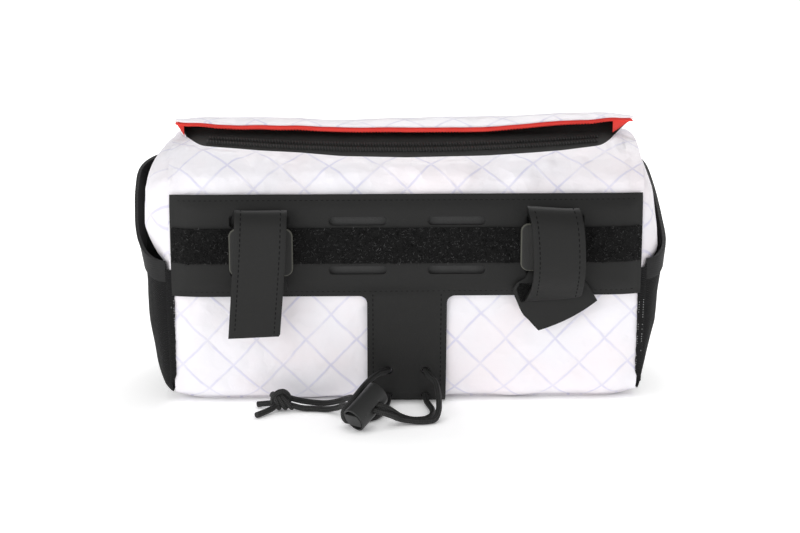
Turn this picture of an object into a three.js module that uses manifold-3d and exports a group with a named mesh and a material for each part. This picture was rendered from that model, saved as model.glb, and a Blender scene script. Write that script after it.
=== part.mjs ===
// Handlebar bag: a soft laminate barrel with a zip under a storm flap, stretch pockets on both ends, a slotted
// T panel with two bar straps on its back, and an elastic cord with a toggle.
// Millimetres. +X runs along the bag, +Y from the bar side to the front, +Z up.
import * as THREE from "three";
import { mergeVertices } from "three/addons/utils/BufferGeometryUtils.js";
import Module from "manifold-3d";

const wasm = await Module();
wasm.setup();
const { clamp, degToRad, lerp, radToDeg, smoothstep } = THREE.MathUtils;

// Driving dimensions.
const HALF = 118.5; // half the length of the shell
const WALL = 1.4; // laminate cloth
const GAP = 0.3; // between pieces that lie on each other
const TUCK = 3.5; // how far the end seams pull the cloth in
const TUCK_FROM = 100; // where along X that pull begins
const CENTRE = { y: 54, z: 67 }; // the middle of the cross-section
const CHORD_ERROR = 0.12; // the most that a facet leaves the true curve

const HEM_RADIUS = 12;
const BACK_RADIUS = 292;
const SHOULDER_RADIUS = 20;
const FRONT_HEM_RADIUS = 16;
const HEM_END = degToRad(-14); // where the back hem gives way to the back wall

const MOUTH = { half: 111, low: 139, sag: 11, high: 168, corner: 20, seam: 5 };
const COIL = { half: 100, at: 149, rise: 9.5, width: 8.8, height: 1.8 };
const FLAP = { half: 119, root_half: 113, edge: 160, sweep: 10, root: 206, lift: 4.2, ears: 1.5, thick: 1.2 };
const FACING = { half: 117, ahead: 1.8, depth: 15, thick: 1, droop: 2 };

const PANEL = { half: 117, low: 66.5, high: 117.9, foot: 6.2, thick: 1.4, stem: 20, fillet: 4, ramp: 8 };
const SLOT = { length: 28.5, height: 4.2, strap_height: 6.4, pitch: 49, low: 80.4, high: 105.2 };
const LOOP_TAPE = { half: 116.5, at: 92.9, width: 19.4, thick: 2 };
const HOLE = { x: 9.4, low: 11.2, high: 25.7, radius: 1.95 };

const STRAP = { width: 25.4, thick: 1.6, x: 73.5 };
const PAD = { width: 31.5, height: 24, thick: 2.5, corner: 5, at: 90.6 };

const CAP = { inset: 1.2, thick: 1.4 };
const POCKET = { thick: 1.2, binding: 10, binding_thick: 1.9 };
const DOME_FALL = 6; // how late an end's bulge falls off towards its seam
const POCKET_MOUTH = { z: 74.5, slope: 22.6 }; // height at the back seam, and degrees of rise to the front

const CORD_RADIUS = 1.5;
const LOCK = { radius: 5.5, length: 20.8, bore: 4.6, bore_depth: 19.5, hole_at: 12, hole_width: 3.7 };
const PLUNGER = { radius: 4.2, flat: 3.5, proud: 0.6, end: 16.8, travel: 2.5 };

const CLOTH_WHITE = { color: 0xf3eef6, roughness: 0.45 };
const FACING_RED = { color: 0xc9362c, roughness: 0.6 };
const PANEL_BLACK = { color: 0x2b2b2a, roughness: 0.6 };
const TAPE_BLACK = { color: 0x161616, roughness: 0.95 };
const MESH_BLACK = { color: 0x222222, roughness: 0.9 };
const CORD_BLACK = { color: 0x1f1f1f, roughness: 0.8 };
const PLASTIC_BLACK = { color: 0x2a2b2a, roughness: 0.5 };

// The bag's cross-section, walked from under the back hem up the back wall, over the top and down the front.
// turn_to is the height of the outward normal above the horizontal, in degrees, where each arc ends.
const SECTION = [
  { part: "back hem", radius: HEM_RADIUS, turn_to: radToDeg(HEM_END) },
  { part: "back wall", radius: BACK_RADIUS, turn_to: 6 },
  { part: "shoulder", radius: SHOULDER_RADIUS, turn_to: 56 },
  { part: "zip slope", radius: 65, turn_to: 78 },
  { part: "crown", radius: 80, turn_to: 90 },
  { part: "top", radius: 240, turn_to: 97 },
  { part: "front shoulder", radius: 36, turn_to: 168 },
  { part: "front wall", radius: null, turn_to: 190 },
  { part: "front hem", radius: FRONT_HEM_RADIUS, turn_to: 270 },
];

// The arcs laid end to end, with the front wall's radius found from the height that it has to come down.
function layArcs(rows) {
  let from = -90;
  const spans = rows.map((row) => {
    const span = { ...row, from: degToRad(from), to: degToRad(row.turn_to) };
    from = row.turn_to;
    return span;
  });
  const rise = (span) => Math.sin(span.to) - Math.sin(span.from);
  const open = spans.find((span) => span.radius === null);
  const known = spans.filter((span) => span !== open);
  open.radius = -known.reduce((sum, span) => sum + span.radius * rise(span), 0) / rise(open);
  let s = 0;
  let y = HEM_RADIUS * Math.cos(HEM_END) + BACK_RADIUS * (1 - Math.cos(HEM_END));
  let z = 0;
  for (const span of spans) {
    Object.assign(span, { s, y, z, length: span.radius * (span.to - span.from) });
    s += span.length;
    y += span.radius * (Math.cos(span.from) - Math.cos(span.to));
    z += span.radius * rise(span);
  }
  const floor = { s, y, length: y - spans[0].y };
  return { spans, floor, length: s + floor.length, depth: y };
}
const section = layArcs(SECTION);

// A point of the section and the angle of its normal, s millimetres along the cloth from under the back hem.
function sectionAt(s) {
  if (s >= section.floor.s)
    return { y: section.floor.y - (s - section.floor.s), z: 0, angle: degToRad(270) };
  const span = section.spans.find((row) => s < row.s + row.length);
  const angle = span.from + Math.max(0, s - span.s) / span.radius;
  return {
    y: span.y + span.radius * (Math.cos(span.from) - Math.cos(angle)),
    z: span.z + span.radius * (Math.sin(angle) - Math.sin(span.from)),
    angle,
  };
}

const tuck = (x) => TUCK * clamp((Math.abs(x) - TUCK_FROM) / (HALF - TUCK_FROM), 0, 1) ** 2;

// The bag's skin at x along the bag and s along the section, lifted off the cloth's outer face.
function skin(x, s, lift = 0) {
  const at = sectionAt(s);
  const out = lift - tuck(Math.min(Math.abs(x), HALF));
  return new THREE.Vector3(x, at.y - Math.cos(at.angle) * out, at.z + Math.sin(at.angle) * out);
}

// Stations along the section, close enough for the chord error on every arc.
const AROUND = section.spans.flatMap((span) => {
  const steps = Math.ceil(span.length / Math.sqrt(8 * span.radius * CHORD_ERROR));
  return Array.from({ length: steps }, (_, k) => span.s + (span.length * k) / steps);
});
AROUND.push(section.floor.s, section.floor.s + section.floor.length / 2);

// Stations along X from -1 to 1: half of them lie in the ends, where the seams pull the cloth in.
function spreadEnds(t, half) {
  const far = Math.abs(t);
  const x = far < 0.5 ? 2 * far * TUCK_FROM : lerp(TUCK_FROM, half, 2 * far - 1);
  return Math.sign(t) * x;
}

// Moves every vertex of a geometry through a function of its own position.
function bend(geometry, place) {
  const p = geometry.attributes.position;
  const v = new THREE.Vector3();
  for (let i = 0; i < p.count; i++) {
    const to = place(v.fromBufferAttribute(p, i));
    p.setXYZ(i, to.x, to.y, to.z);
  }
  return geometry;
}

function solid(geometry) {
  const bare = geometry.clone();
  bare.deleteAttribute("normal");
  bare.deleteAttribute("uv");
  const merged = mergeVertices(bare, 1e-4);
  const vertProperties = new Float32Array(merged.attributes.position.array);
  const triVerts = new Uint32Array(merged.index.array);
  const made = new wasm.Manifold(new wasm.Mesh({ numProp: 3, vertProperties, triVerts }));
  if (made.volume() > 0) return made;
  for (let i = 0; i < triVerts.length; i += 3)
    [triVerts[i + 1], triVerts[i + 2]] = [triVerts[i + 2], triVerts[i + 1]];
  return new wasm.Manifold(new wasm.Mesh({ numProp: 3, vertProperties, triVerts }));
}

function shapeOf(made) {
  const { vertProperties, triVerts } = made.getMesh();
  return new THREE.BufferGeometry()
    .setAttribute("position", new THREE.BufferAttribute(vertProperties, 3))
    .setIndex(new THREE.BufferAttribute(triVerts, 1));
}

const bag = new THREE.Group();
const cords = new THREE.Group();

function add(group, name, made, look) {
  const geometry = made.isBufferGeometry ? shapeOf(solid(made)) : shapeOf(made);
  const mesh = new THREE.Mesh(geometry, new THREE.MeshStandardMaterial(look));
  mesh.name = name;
  group.add(mesh);
  return mesh;
}

// A sheet on the skin. across and along give x and s for shares of its two sides, and lift gives its inner and
// outer face.
function sheet({ columns, rows, across, along, lift }) {
  return bend(new THREE.BoxGeometry(2, 1, 1, columns, rows, 1), (v) => {
    const share = v.y + 0.5;
    const x = across(v.x, share);
    const s = along(x, share);
    return skin(x, s, lift(x, s, v.z + 0.5));
  });
}

// Shell: a closed tube of cloth, less its inside and the mouth that the zip fills.
function tube(half, lift) {
  const stations = AROUND.length;
  return solid(
    bend(new THREE.CylinderGeometry(1, 1, 2, stations, 12), (v) => {
      const turn = Math.atan2(v.x, v.z) / (2 * Math.PI);
      const k = Math.round(turn * stations + stations) % stations;
      const x = -spreadEnds(v.y, half);
      const middle = Math.hypot(v.x, v.z) < 0.5;
      return middle ? new THREE.Vector3(x, CENTRE.y, CENTRE.z) : skin(x, AROUND[k], lift);
    }),
  );
}

// The lower edge of the zip's mouth: a shallow curve that sags to the middle and turns up in round ends.
function mouthLow(x) {
  const t = clamp((Math.abs(x) - MOUTH.half + MOUTH.corner) / MOUTH.corner, 0, 1);
  const end = MOUTH.high - 1 - MOUTH.low - MOUTH.sag;
  return MOUTH.low + MOUTH.sag * (x / MOUTH.half) ** 2 + end * (1 - Math.sqrt(1 - t * t));
}
const mouthCut = sheet({
  columns: 44,
  rows: 4,
  across: (t) => spreadEnds(t, MOUTH.half),
  along: (x, share) => lerp(mouthLow(x), MOUTH.high, share),
  lift: (x, s, side) => lerp(-2 * WALL, 2 * WALL, side),
});
const hollow = tube(HALF + 2, -WALL);
add(bag, "shell", tube(HALF, 0).subtract(hollow).subtract(solid(mouthCut)), CLOTH_WHITE);

// Zip: one tape sewn under the edges of the mouth, and the coil that runs along its middle.
add(
  bag,
  "zip_tape",
  sheet({
    columns: 32,
    rows: 4,
    across: (t) => spreadEnds(t, MOUTH.half),
    along: (x, share) => lerp(mouthLow(x) - MOUTH.seam, MOUTH.high + MOUTH.seam, share),
    lift: (x, s, side) => -WALL - GAP - (side ? 0 : 1),
  }),
  { color: 0x262625, roughness: 0.85 },
);
add(
  bag,
  "zip_coil",
  sheet({
    columns: 24,
    rows: 1,
    across: (t) => t * COIL.half,
    along: (x, share) => COIL.at + COIL.rise * (x / COIL.half) ** 2 + COIL.width * (share - 0.5),
    lift: (x, s, side) => -WALL + (side ? COIL.height : 0),
  }),
  { color: 0x1d1d1c, roughness: 0.6 },
);

// Storm flap: stands off the zip along its free edge and lies down on the top where it is sewn.
const flapEdge = (x) => FLAP.edge + FLAP.sweep * (x / FLAP.half) ** 2;
function flapLift(x, s) {
  const edge = FLAP.lift + FLAP.ears * (x / FLAP.half) ** 4;
  return lerp(edge, GAP, smoothstep(s, flapEdge(x), FLAP.root));
}
add(
  bag,
  "lid_flap",
  sheet({
    columns: 20,
    rows: 5,
    across: (t, share) => spreadEnds(t, lerp(FLAP.half, FLAP.root_half, Math.sqrt(share))),
    along: (x, share) => lerp(flapEdge(x), FLAP.root, share),
    lift: (x, s, side) => flapLift(x, s) + (side ? FLAP.thick : 0),
  }),
  CLOTH_WHITE,
);
add(
  bag,
  "flap_facing",
  sheet({
    columns: 20,
    rows: 3,
    across: (t) => spreadEnds(t, FACING.half),
    along: (x, share) => flapEdge(x) - FACING.ahead + FACING.depth * share,
    lift: (x, s, side) => {
      const ahead = clamp((flapEdge(x) + FACING.ahead - s) / (2 * FACING.ahead), 0, 1);
      const top = flapLift(x, s) - GAP - FACING.droop * ahead;
      return top - (side ? 0 : FACING.thick);
    },
  }),
  FACING_RED,
);

// T panel: sewn down along its edges, and standing off the shell between them so that the straps pass behind it.
const BEHIND = STRAP.thick + 3 * GAP;
function panelLift(x, s) {
  const inside = Math.min(s - PANEL.low, PANEL.high - s, PANEL.half - Math.abs(x));
  return lerp(GAP, BEHIND, smoothstep(inside, 0, PANEL.ramp));
}
const PANEL_ROWS = [PANEL.foot, 9, 12, 15.5, 25, 38, 52, PANEL.low, 69, 71.5, 74.5, 84, 94, 102, 110];
PANEL_ROWS.push(112.5, 115, PANEL.high);
const panelSheet = sheet({
  columns: 20,
  rows: PANEL_ROWS.length - 1,
  across: (t) => spreadEnds(t, PANEL.half),
  along: (x, share) => PANEL_ROWS[Math.round(share * (PANEL_ROWS.length - 1))],
  lift: (x, s, side) => panelLift(x, s) + (side ? PANEL.thick : 0),
});

// Cuts through the back along Y: shape in x and z, from before the panel to well inside it.
const CUT = { from: -30, through: 60 };
function cutAlongY(shape) {
  const block = new THREE.ExtrudeGeometry(shape, { depth: CUT.through, bevelEnabled: false, curveSegments: 5 });
  return solid(block.rotateX(Math.PI / 2).translate(0, CUT.from + CUT.through, 0));
}
function roundedBox(width, height, radius) {
  const shape = new THREE.Shape();
  const [x, y] = [width / 2 - radius, height / 2 - radius];
  shape.absarc(x, y, radius, 0, Math.PI / 2);
  shape.absarc(-x, y, radius, Math.PI / 2, Math.PI);
  shape.absarc(-x, -y, radius, Math.PI, 1.5 * Math.PI);
  shape.absarc(x, -y, radius, 1.5 * Math.PI, 2 * Math.PI);
  return shape;
}
function besideStem() {
  const low = -5;
  const high = sectionAt(PANEL.low).z;
  return roundedBox(PANEL.half + 5 - PANEL.stem, high - low, PANEL.fillet);
}
let panel = solid(panelSheet);
for (const side of [-1, 1]) {
  const high = sectionAt(PANEL.low).z;
  const at = new THREE.Vector3((side * (PANEL.half + 5 + PANEL.stem)) / 2, 0, (high - 5) / 2);
  panel = panel.subtract(cutAlongY(besideStem()).translate(at.toArray()));
}
for (const s of [SLOT.low, SLOT.high]) {
  const z = sectionAt(s).z;
  for (const [share, height] of [
    [-1.5, SLOT.strap_height],
    [-0.5, SLOT.height],
    [0.5, SLOT.height],
    [1.5, SLOT.strap_height],
  ]) {
    const slot = roundedBox(SLOT.length, height, SLOT.height / 2 - 0.1);
    panel = panel.subtract(cutAlongY(slot).translate([share * SLOT.pitch, 0, z]));
  }
}
function alongNormal(s) {
  const { angle } = sectionAt(s);
  return new THREE.Vector3(0, -Math.cos(angle), Math.sin(angle));
}
for (const side of [-1, 1])
  for (const s of [HOLE.low, HOLE.high]) {
    const drill = new THREE.CylinderGeometry(HOLE.radius, HOLE.radius, 8, 12);
    const turn = new THREE.Quaternion().setFromUnitVectors(new THREE.Vector3(0, 1, 0), alongNormal(s));
    const at = skin(side * HOLE.x, s);
    panel = panel.subtract(solid(drill.applyQuaternion(turn).translate(at.x, at.y, at.z)));
  }
add(bag, "mount_panel", panel, PANEL_BLACK);

// Loop tape: a flat strip across the panel, between the two rows of slots.
add(
  bag,
  "loop_tape",
  sheet({
    columns: 20,
    rows: 2,
    across: (t) => spreadEnds(t, LOOP_TAPE.half),
    along: (x, share) => LOOP_TAPE.at + LOOP_TAPE.width * (share - 0.5),
    lift: (x, s, side) => panelLift(x, s) + PANEL.thick + GAP + (side ? LOOP_TAPE.thick : 0),
  }),
  TAPE_BLACK,
);

// Straps: each goes out of its upper slot, over and down in front, and back behind the panel to a tail at its
// lower slot. out is the distance of its middle from the back plane, x from the slots' centre.
const STRAPS = {
  left: [
    { x: -3.4, out: 11.5, z: 41 },
    { x: -2.4, out: 14.5, z: 54 },
    { x: -1.2, out: 17, z: 70 },
    { x: 0, out: 18, z: 87 },
    { x: 0.4, out: 16, z: 99 },
    { x: 0.4, out: 11.5, z: 104 },
    { x: 0.2, out: 6.6, z: 102 },
    { x: 0, out: 3.2, z: 98.2 },
    { x: 0, out: 1.2, z: 95.2 },
    { x: 0, out: 1, z: 90 },
    { x: 0, out: 1.2, z: 82 },
    { x: 0, out: 1.3, z: 76.4 },
    { x: 0, out: 3.2, z: 72.9 },
    { x: 0.6, out: 5.1, z: 68.6 },
    { x: 1.4, out: 5.2, z: 62 },
  ],
  right: [
    { x: 0, out: 7.4, z: 58.6 },
    { x: 0.4, out: 11, z: 63 },
    { x: 0.8, out: 18, z: 74 },
    { x: 0.6, out: 19, z: 87 },
    { x: 0.2, out: 17, z: 99.5 },
    { x: 0, out: 11.8, z: 104.8 },
    { x: 0, out: 6.6, z: 102.2 },
    { x: 0, out: 3.2, z: 98.2 },
    { x: 0, out: 1.2, z: 95.2 },
    { x: 0, out: 1, z: 90 },
    { x: 0, out: 1.2, z: 82 },
    { x: 0, out: 1.3, z: 76.4 },
    { x: 0, out: 3.2, z: 72.9 },
    { x: 0.6, out: 5.1, z: 68.4 },
    { x: 2.8, out: 5.2, z: 58 },
    { x: 6.4, out: 4.8, z: 49.4 },
  ],
};

// A flat strap along a curve, its width square to the curve and as near to X as it can be.
function ribbon(points, width, thick, steps) {
  const curve = new THREE.CatmullRomCurve3(points);
  return bend(new THREE.BoxGeometry(1, 1, 1, 1, steps, 1), (v) => {
    const share = v.y + 0.5;
    const along = curve.getTangentAt(share);
    const across = new THREE.Vector3(1, 0, 0).addScaledVector(along, -along.x).normalize();
    const out = new THREE.Vector3().crossVectors(across, along);
    return curve
      .getPointAt(share)
      .addScaledVector(across, v.x * width)
      .addScaledVector(out, v.z * thick);
  });
}
for (const [side, sign] of Object.entries({ left: -1, right: 1 })) {
  const points = STRAPS[side].map(({ x, out, z }) => new THREE.Vector3(sign * STRAP.x + x, -out, z));
  add(bag, "strap_" + side, ribbon(points, STRAP.width, STRAP.thick, 48), PANEL_BLACK);
  const pad = new THREE.ExtrudeGeometry(roundedBox(PAD.width, PAD.height, PAD.corner), {
    depth: PAD.thick,
    bevelEnabled: false,
    curveSegments: 4,
  });
  const front = skin(0, LOOP_TAPE.at, BEHIND + PANEL.thick + GAP + LOOP_TAPE.thick + GAP);
  pad.rotateX(Math.PI / 2).translate(sign * STRAP.x, front.y, sectionAt(PAD.at).z);
  add(bag, "strap_pad_" + side, pad, PANEL_BLACK);
}

// How far each end bulges, by height. The bag slumps to one side, so its left end is the fuller one.
const ENDS = [
  { z: 0, left_cap: 3, left_pocket: 9.5, right_cap: 1, right_pocket: 1.5 },
  { z: 20, left_cap: 4, left_pocket: 10.8, right_cap: 1, right_pocket: 5.5 },
  { z: 40, left_cap: 5.5, left_pocket: 12.6, right_cap: 2.8, right_pocket: 10 },
  { z: 57, left_cap: 6.2, left_pocket: 13.5, right_cap: 3.6, right_pocket: 10.8 },
  { z: 72, left_cap: 6.4, left_pocket: 13.8, right_cap: 5, right_pocket: 12.3 },
  { z: 80, left_cap: 7.4, left_pocket: 15.2, right_cap: 6, right_pocket: 13.2 },
  { z: 90, left_cap: 10.6, left_pocket: 19, right_cap: 6.4, right_pocket: 13.4 },
  { z: 110, left_cap: 14.8, left_pocket: 24.4, right_cap: 6.8, right_pocket: 13.8 },
  { z: 120, left_cap: 14.5, left_pocket: 26, right_cap: 5.8, right_pocket: 13 },
  { z: 140, left_cap: 14, left_pocket: 26, right_cap: 3, right_pocket: 13 },
];
function bulgeAt(z, column) {
  const k = clamp(ENDS.findIndex((row) => row.z > z), 1, ENDS.length - 1);
  const [low, high] = [ENDS[k - 1], ENDS[k]];
  return lerp(low[column], high[column], clamp((z - low.z) / (high.z - low.z), 0, 1));
}

// The ends are domes on the section's outline. share is 1 at the seam and 0 in the middle of the end.
const RINGS = [0, 0.4, 0.66, 0.83, 0.94, 1];
function dome(side, column, place) {
  const profile = RINGS.map((r) => new THREE.Vector2(r, 0));
  profile.push(...RINGS.toReversed().map((r) => new THREE.Vector2(r, 1)));
  const outline = AROUND.filter((_, k) => k % 2 === 0);
  const stations = outline.length;
  const disc = new THREE.LatheGeometry(profile, stations);
  return solid(
    bend(disc, (v) => {
      const share = Math.min(Math.hypot(v.x, v.z), 1);
      const turn = Math.atan2(v.x, v.z) / (2 * Math.PI);
      const k = Math.round(turn * stations + stations) % stations;
      const { inset, start } = place(v.y);
      const rim = skin(HALF, outline[k], -inset);
      const y = lerp(CENTRE.y, rim.y, share);
      const z = lerp(CENTRE.z, rim.z, share);
      const x = start + bulgeAt(z, column) * (1 - share ** DOME_FALL) ** 0.6;
      return new THREE.Vector3(side * x, y, z);
    }),
  );
}
const capAt = (outer) => ({
  inset: WALL + GAP + (outer ? 0 : CAP.thick),
  start: HALF - CAP.inset - (outer ? 0 : CAP.thick),
});
const pocketAt = (thick) => (outer) => ({
  inset: outer ? 0.4 : 0.4 + thick,
  start: HALF + GAP + (outer ? thick : 0),
});

// Everything on one side of a plane that runs along X and rises to the front at the slope of the pocket's mouth.
function mouthSlab(from, to) {
  const block = new THREE.BoxGeometry(4 * HALF, 600, to - from).translate(0, 0, (to + from) / 2);
  return solid(block.rotateX(degToRad(POCKET_MOUTH.slope)).translate(0, 0, POCKET_MOUTH.z));
}
for (const [name, side] of Object.entries({ left: -1, right: 1 })) {
  add(bag, "end_cap_" + name, dome(side, name + "_cap", capAt), CLOTH_WHITE);
  const bulge = name + "_pocket";
  const low = dome(side, bulge, pocketAt(POCKET.thick)).intersect(mouthSlab(-300, -POCKET.binding - GAP));
  add(bag, "pocket_" + name, low, MESH_BLACK);
  const band = dome(side, bulge, pocketAt(POCKET.binding_thick)).intersect(mouthSlab(-POCKET.binding, 0));
  add(bag, "pocket_binding_" + name, band, PANEL_BLACK);
}

// Toggle: a barrel that leans on the floor in front of the panel's stem, with a spring plunger in its near end.
// Its own frame has Z along the barrel from the near end and X along the hole that the cord passes through.
const LOCK_NEAR = new THREE.Vector3(-26.6, -38.4, 5);
const lockAxis = new THREE.Vector3(11.7, 13.1, 9.5).normalize();
const HOLE_TURN = degToRad(-25);
const lockAcross = new THREE.Vector3(-1, 0, 0)
  .addScaledVector(lockAxis, lockAxis.x)
  .normalize()
  .applyAxisAngle(lockAxis, HOLE_TURN);
const lockUp = new THREE.Vector3().crossVectors(lockAxis, lockAcross);
const toLock = new THREE.Matrix4().makeBasis(lockAcross, lockUp, lockAxis).setPosition(LOCK_NEAR);
function rod(radius, from, to) {
  const round = new THREE.CylinderGeometry(radius, radius, to - from, 24);
  return solid(round.rotateX(Math.PI / 2).translate(0, 0, (from + to) / 2));
}
function crossSlot(from, to) {
  const shape = roundedBox(LOCK.hole_width, to - from, LOCK.hole_width / 2 - 0.05);
  const through = { depth: 4 * LOCK.radius, bevelEnabled: false, curveSegments: 4 };
  const bore = new THREE.ExtrudeGeometry(shape, through).translate(0, 0, -2 * LOCK.radius);
  return solid(bore.rotateY(Math.PI / 2).rotateX(Math.PI / 2).translate(0, 0, (from + to) / 2));
}
const PAIR = 3.5; // between the middles of the two strands that pass through the toggle
const holeHalf = PAIR / 2 + CORD_RADIUS + 0.4;
const [holeFrom, holeTo] = [LOCK.hole_at - holeHalf, LOCK.hole_at + holeHalf];
const barrel = rod(LOCK.radius, 0, LOCK.length)
  .subtract(rod(LOCK.bore, -1, LOCK.bore_depth))
  .subtract(crossSlot(holeFrom, holeTo));
const flats = solid(new THREE.BoxGeometry(3 * LOCK.radius, 2 * PLUNGER.flat, 4 * LOCK.length));
const plunger = rod(PLUNGER.radius, -PLUNGER.proud, PLUNGER.end)
  .intersect(flats)
  .subtract(crossSlot(holeFrom - PLUNGER.travel, holeTo));
add(cords, "cord_lock_barrel", shapeOf(barrel).applyMatrix4(toLock), PLASTIC_BLACK);
add(cords, "cord_lock_plunger", shapeOf(plunger).applyMatrix4(toLock), PLASTIC_BLACK);

// Elastic cord. Its two free strands leave the right-hand holes of the stem, lie on the floor, pass through the
// toggle side by side and end in the knot, and a loop from the left-hand holes goes round under the toggle.
const inHole = (side, s) => skin(side * HOLE.x, s, GAP + 0.1);
const beforeHole = (side, s) => skin(side * HOLE.x, s, 3.2);
const throughLock = (offset) =>
  [-6.5, 0, 6.5].map((x) => new THREE.Vector3(x, 0, LOCK.hole_at + offset).applyMatrix4(toLock));
const onRoute = (rows) => rows.map(([x, y, z]) => new THREE.Vector3(x, y, z));
const CORDS = {
  cord_upper_right: [
    inHole(1, HOLE.high),
    beforeHole(1, HOLE.high),
    ...onRoute([
      [14, -4, 15],
      [15.5, -12, 10.5],
      [15.3, -19, 5.5],
      [14, -24, 2.5],
      [11.3, -27, 1.7],
      [6.5, -27.5, 1.8],
      [-3, -28.5, 3],
      [-9.6, -34.4, 7.4],
    ]),
    ...throughLock(-PAIR / 2),
    ...onRoute([
      [-29.5, -23, 9],
      [-33, -13, 5.5],
      [-38, -7.5, 2],
      [-45, -5.5, 1.7],
      [-53, -4.6, 1.8],
      [-58.9, -4, 3.2],
    ]),
  ],
  cord_lower_right: [
    inHole(1, HOLE.low),
    beforeHole(1, HOLE.low),
    ...onRoute([
      [10.8, 2, 1.7],
      [12.4, -7, 1.7],
      [12.6, -13, 1.7],
      [11, -20, 1.7],
      [7.5, -23.8, 1.7],
      [0, -24, 1.9],
      [-5, -26.5, 4.8],
      [-9, -31.4, 9.2],
    ]),
    ...throughLock(PAIR / 2),
    ...onRoute([
      [-27, -20, 11.6],
      [-31, -7, 7.4],
      [-36, 0.5, 3.4],
      [-43, 4, 1.7],
      [-52, 3, 3],
      [-58.9, -0.6, 5.8],
    ]),
  ],
  cord_left_loop: [
    inHole(-1, HOLE.high),
    beforeHole(-1, HOLE.high),
    ...onRoute([
      [-12, -1, 19.5],
      [-17, -11, 19.8],
      [-22, -21, 18],
      [-26.6, -30.5, 14.7],
      [-31.8, -33.6, 9],
      [-31, -31, 4],
      [-26.5, -25.5, 1.9],
      [-21, -23, 1.7],
      [-15, -18, 1.7],
      [-12, -8, 1.7],
      [-10, 2, 1.9],
    ]),
    beforeHole(-1, HOLE.low),
    inHole(-1, HOLE.low),
  ],
};
function cordAlong(points) {
  const curve = new THREE.CatmullRomCurve3(points);
  const round = new THREE.Shape().absarc(0, 0, CORD_RADIUS, 0, 2 * Math.PI);
  const steps = Math.ceil(curve.getLength() / 5);
  return new THREE.ExtrudeGeometry(round, { extrudePath: curve, steps, bevelEnabled: false, curveSegments: 4 });
}
for (const [name, points] of Object.entries(CORDS)) add(cords, name, cordAlong(points), CORD_BLACK);

// The knot, with the two cut tails of the cord.
const KNOT = { x: -63.8, y: -2.5, z: 4.8, wide: 4.3, deep: 4.8, high: 4.6 };
const TAILS = [
  [
    [-63.8, -2.5, 4.8],
    [-69, 0.5, 3],
    [-76, 2.8, 1.7],
  ],
  [
    [-63.8, -2.5, 4.8],
    [-68.5, -7.5, 2.4],
    [-75.5, -15.5, 1.7],
  ],
];
let knot = solid(
  new THREE.SphereGeometry(1, 12, 8).scale(KNOT.wide, KNOT.deep, KNOT.high).translate(KNOT.x, KNOT.y, KNOT.z),
);
for (const tail of TAILS) knot = knot.add(solid(cordAlong(onRoute(tail))));
add(cords, "cord_knot", knot, CORD_BLACK);

// The origin is under the middle of the bag, on the floor that it stands on.
const box = new THREE.Box3().setFromObject(bag);
const middle = box.getCenter(new THREE.Vector3()).setZ(box.min.z);
for (const group of [bag, cords]) group.position.sub(middle);
const handlebarBag = new THREE.Group();
handlebarBag.add(bag, cords);

export default handlebarBag;
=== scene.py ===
import math
import random

import bpy
import numpy as np
from mathutils import Matrix, Vector, noise


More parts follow.
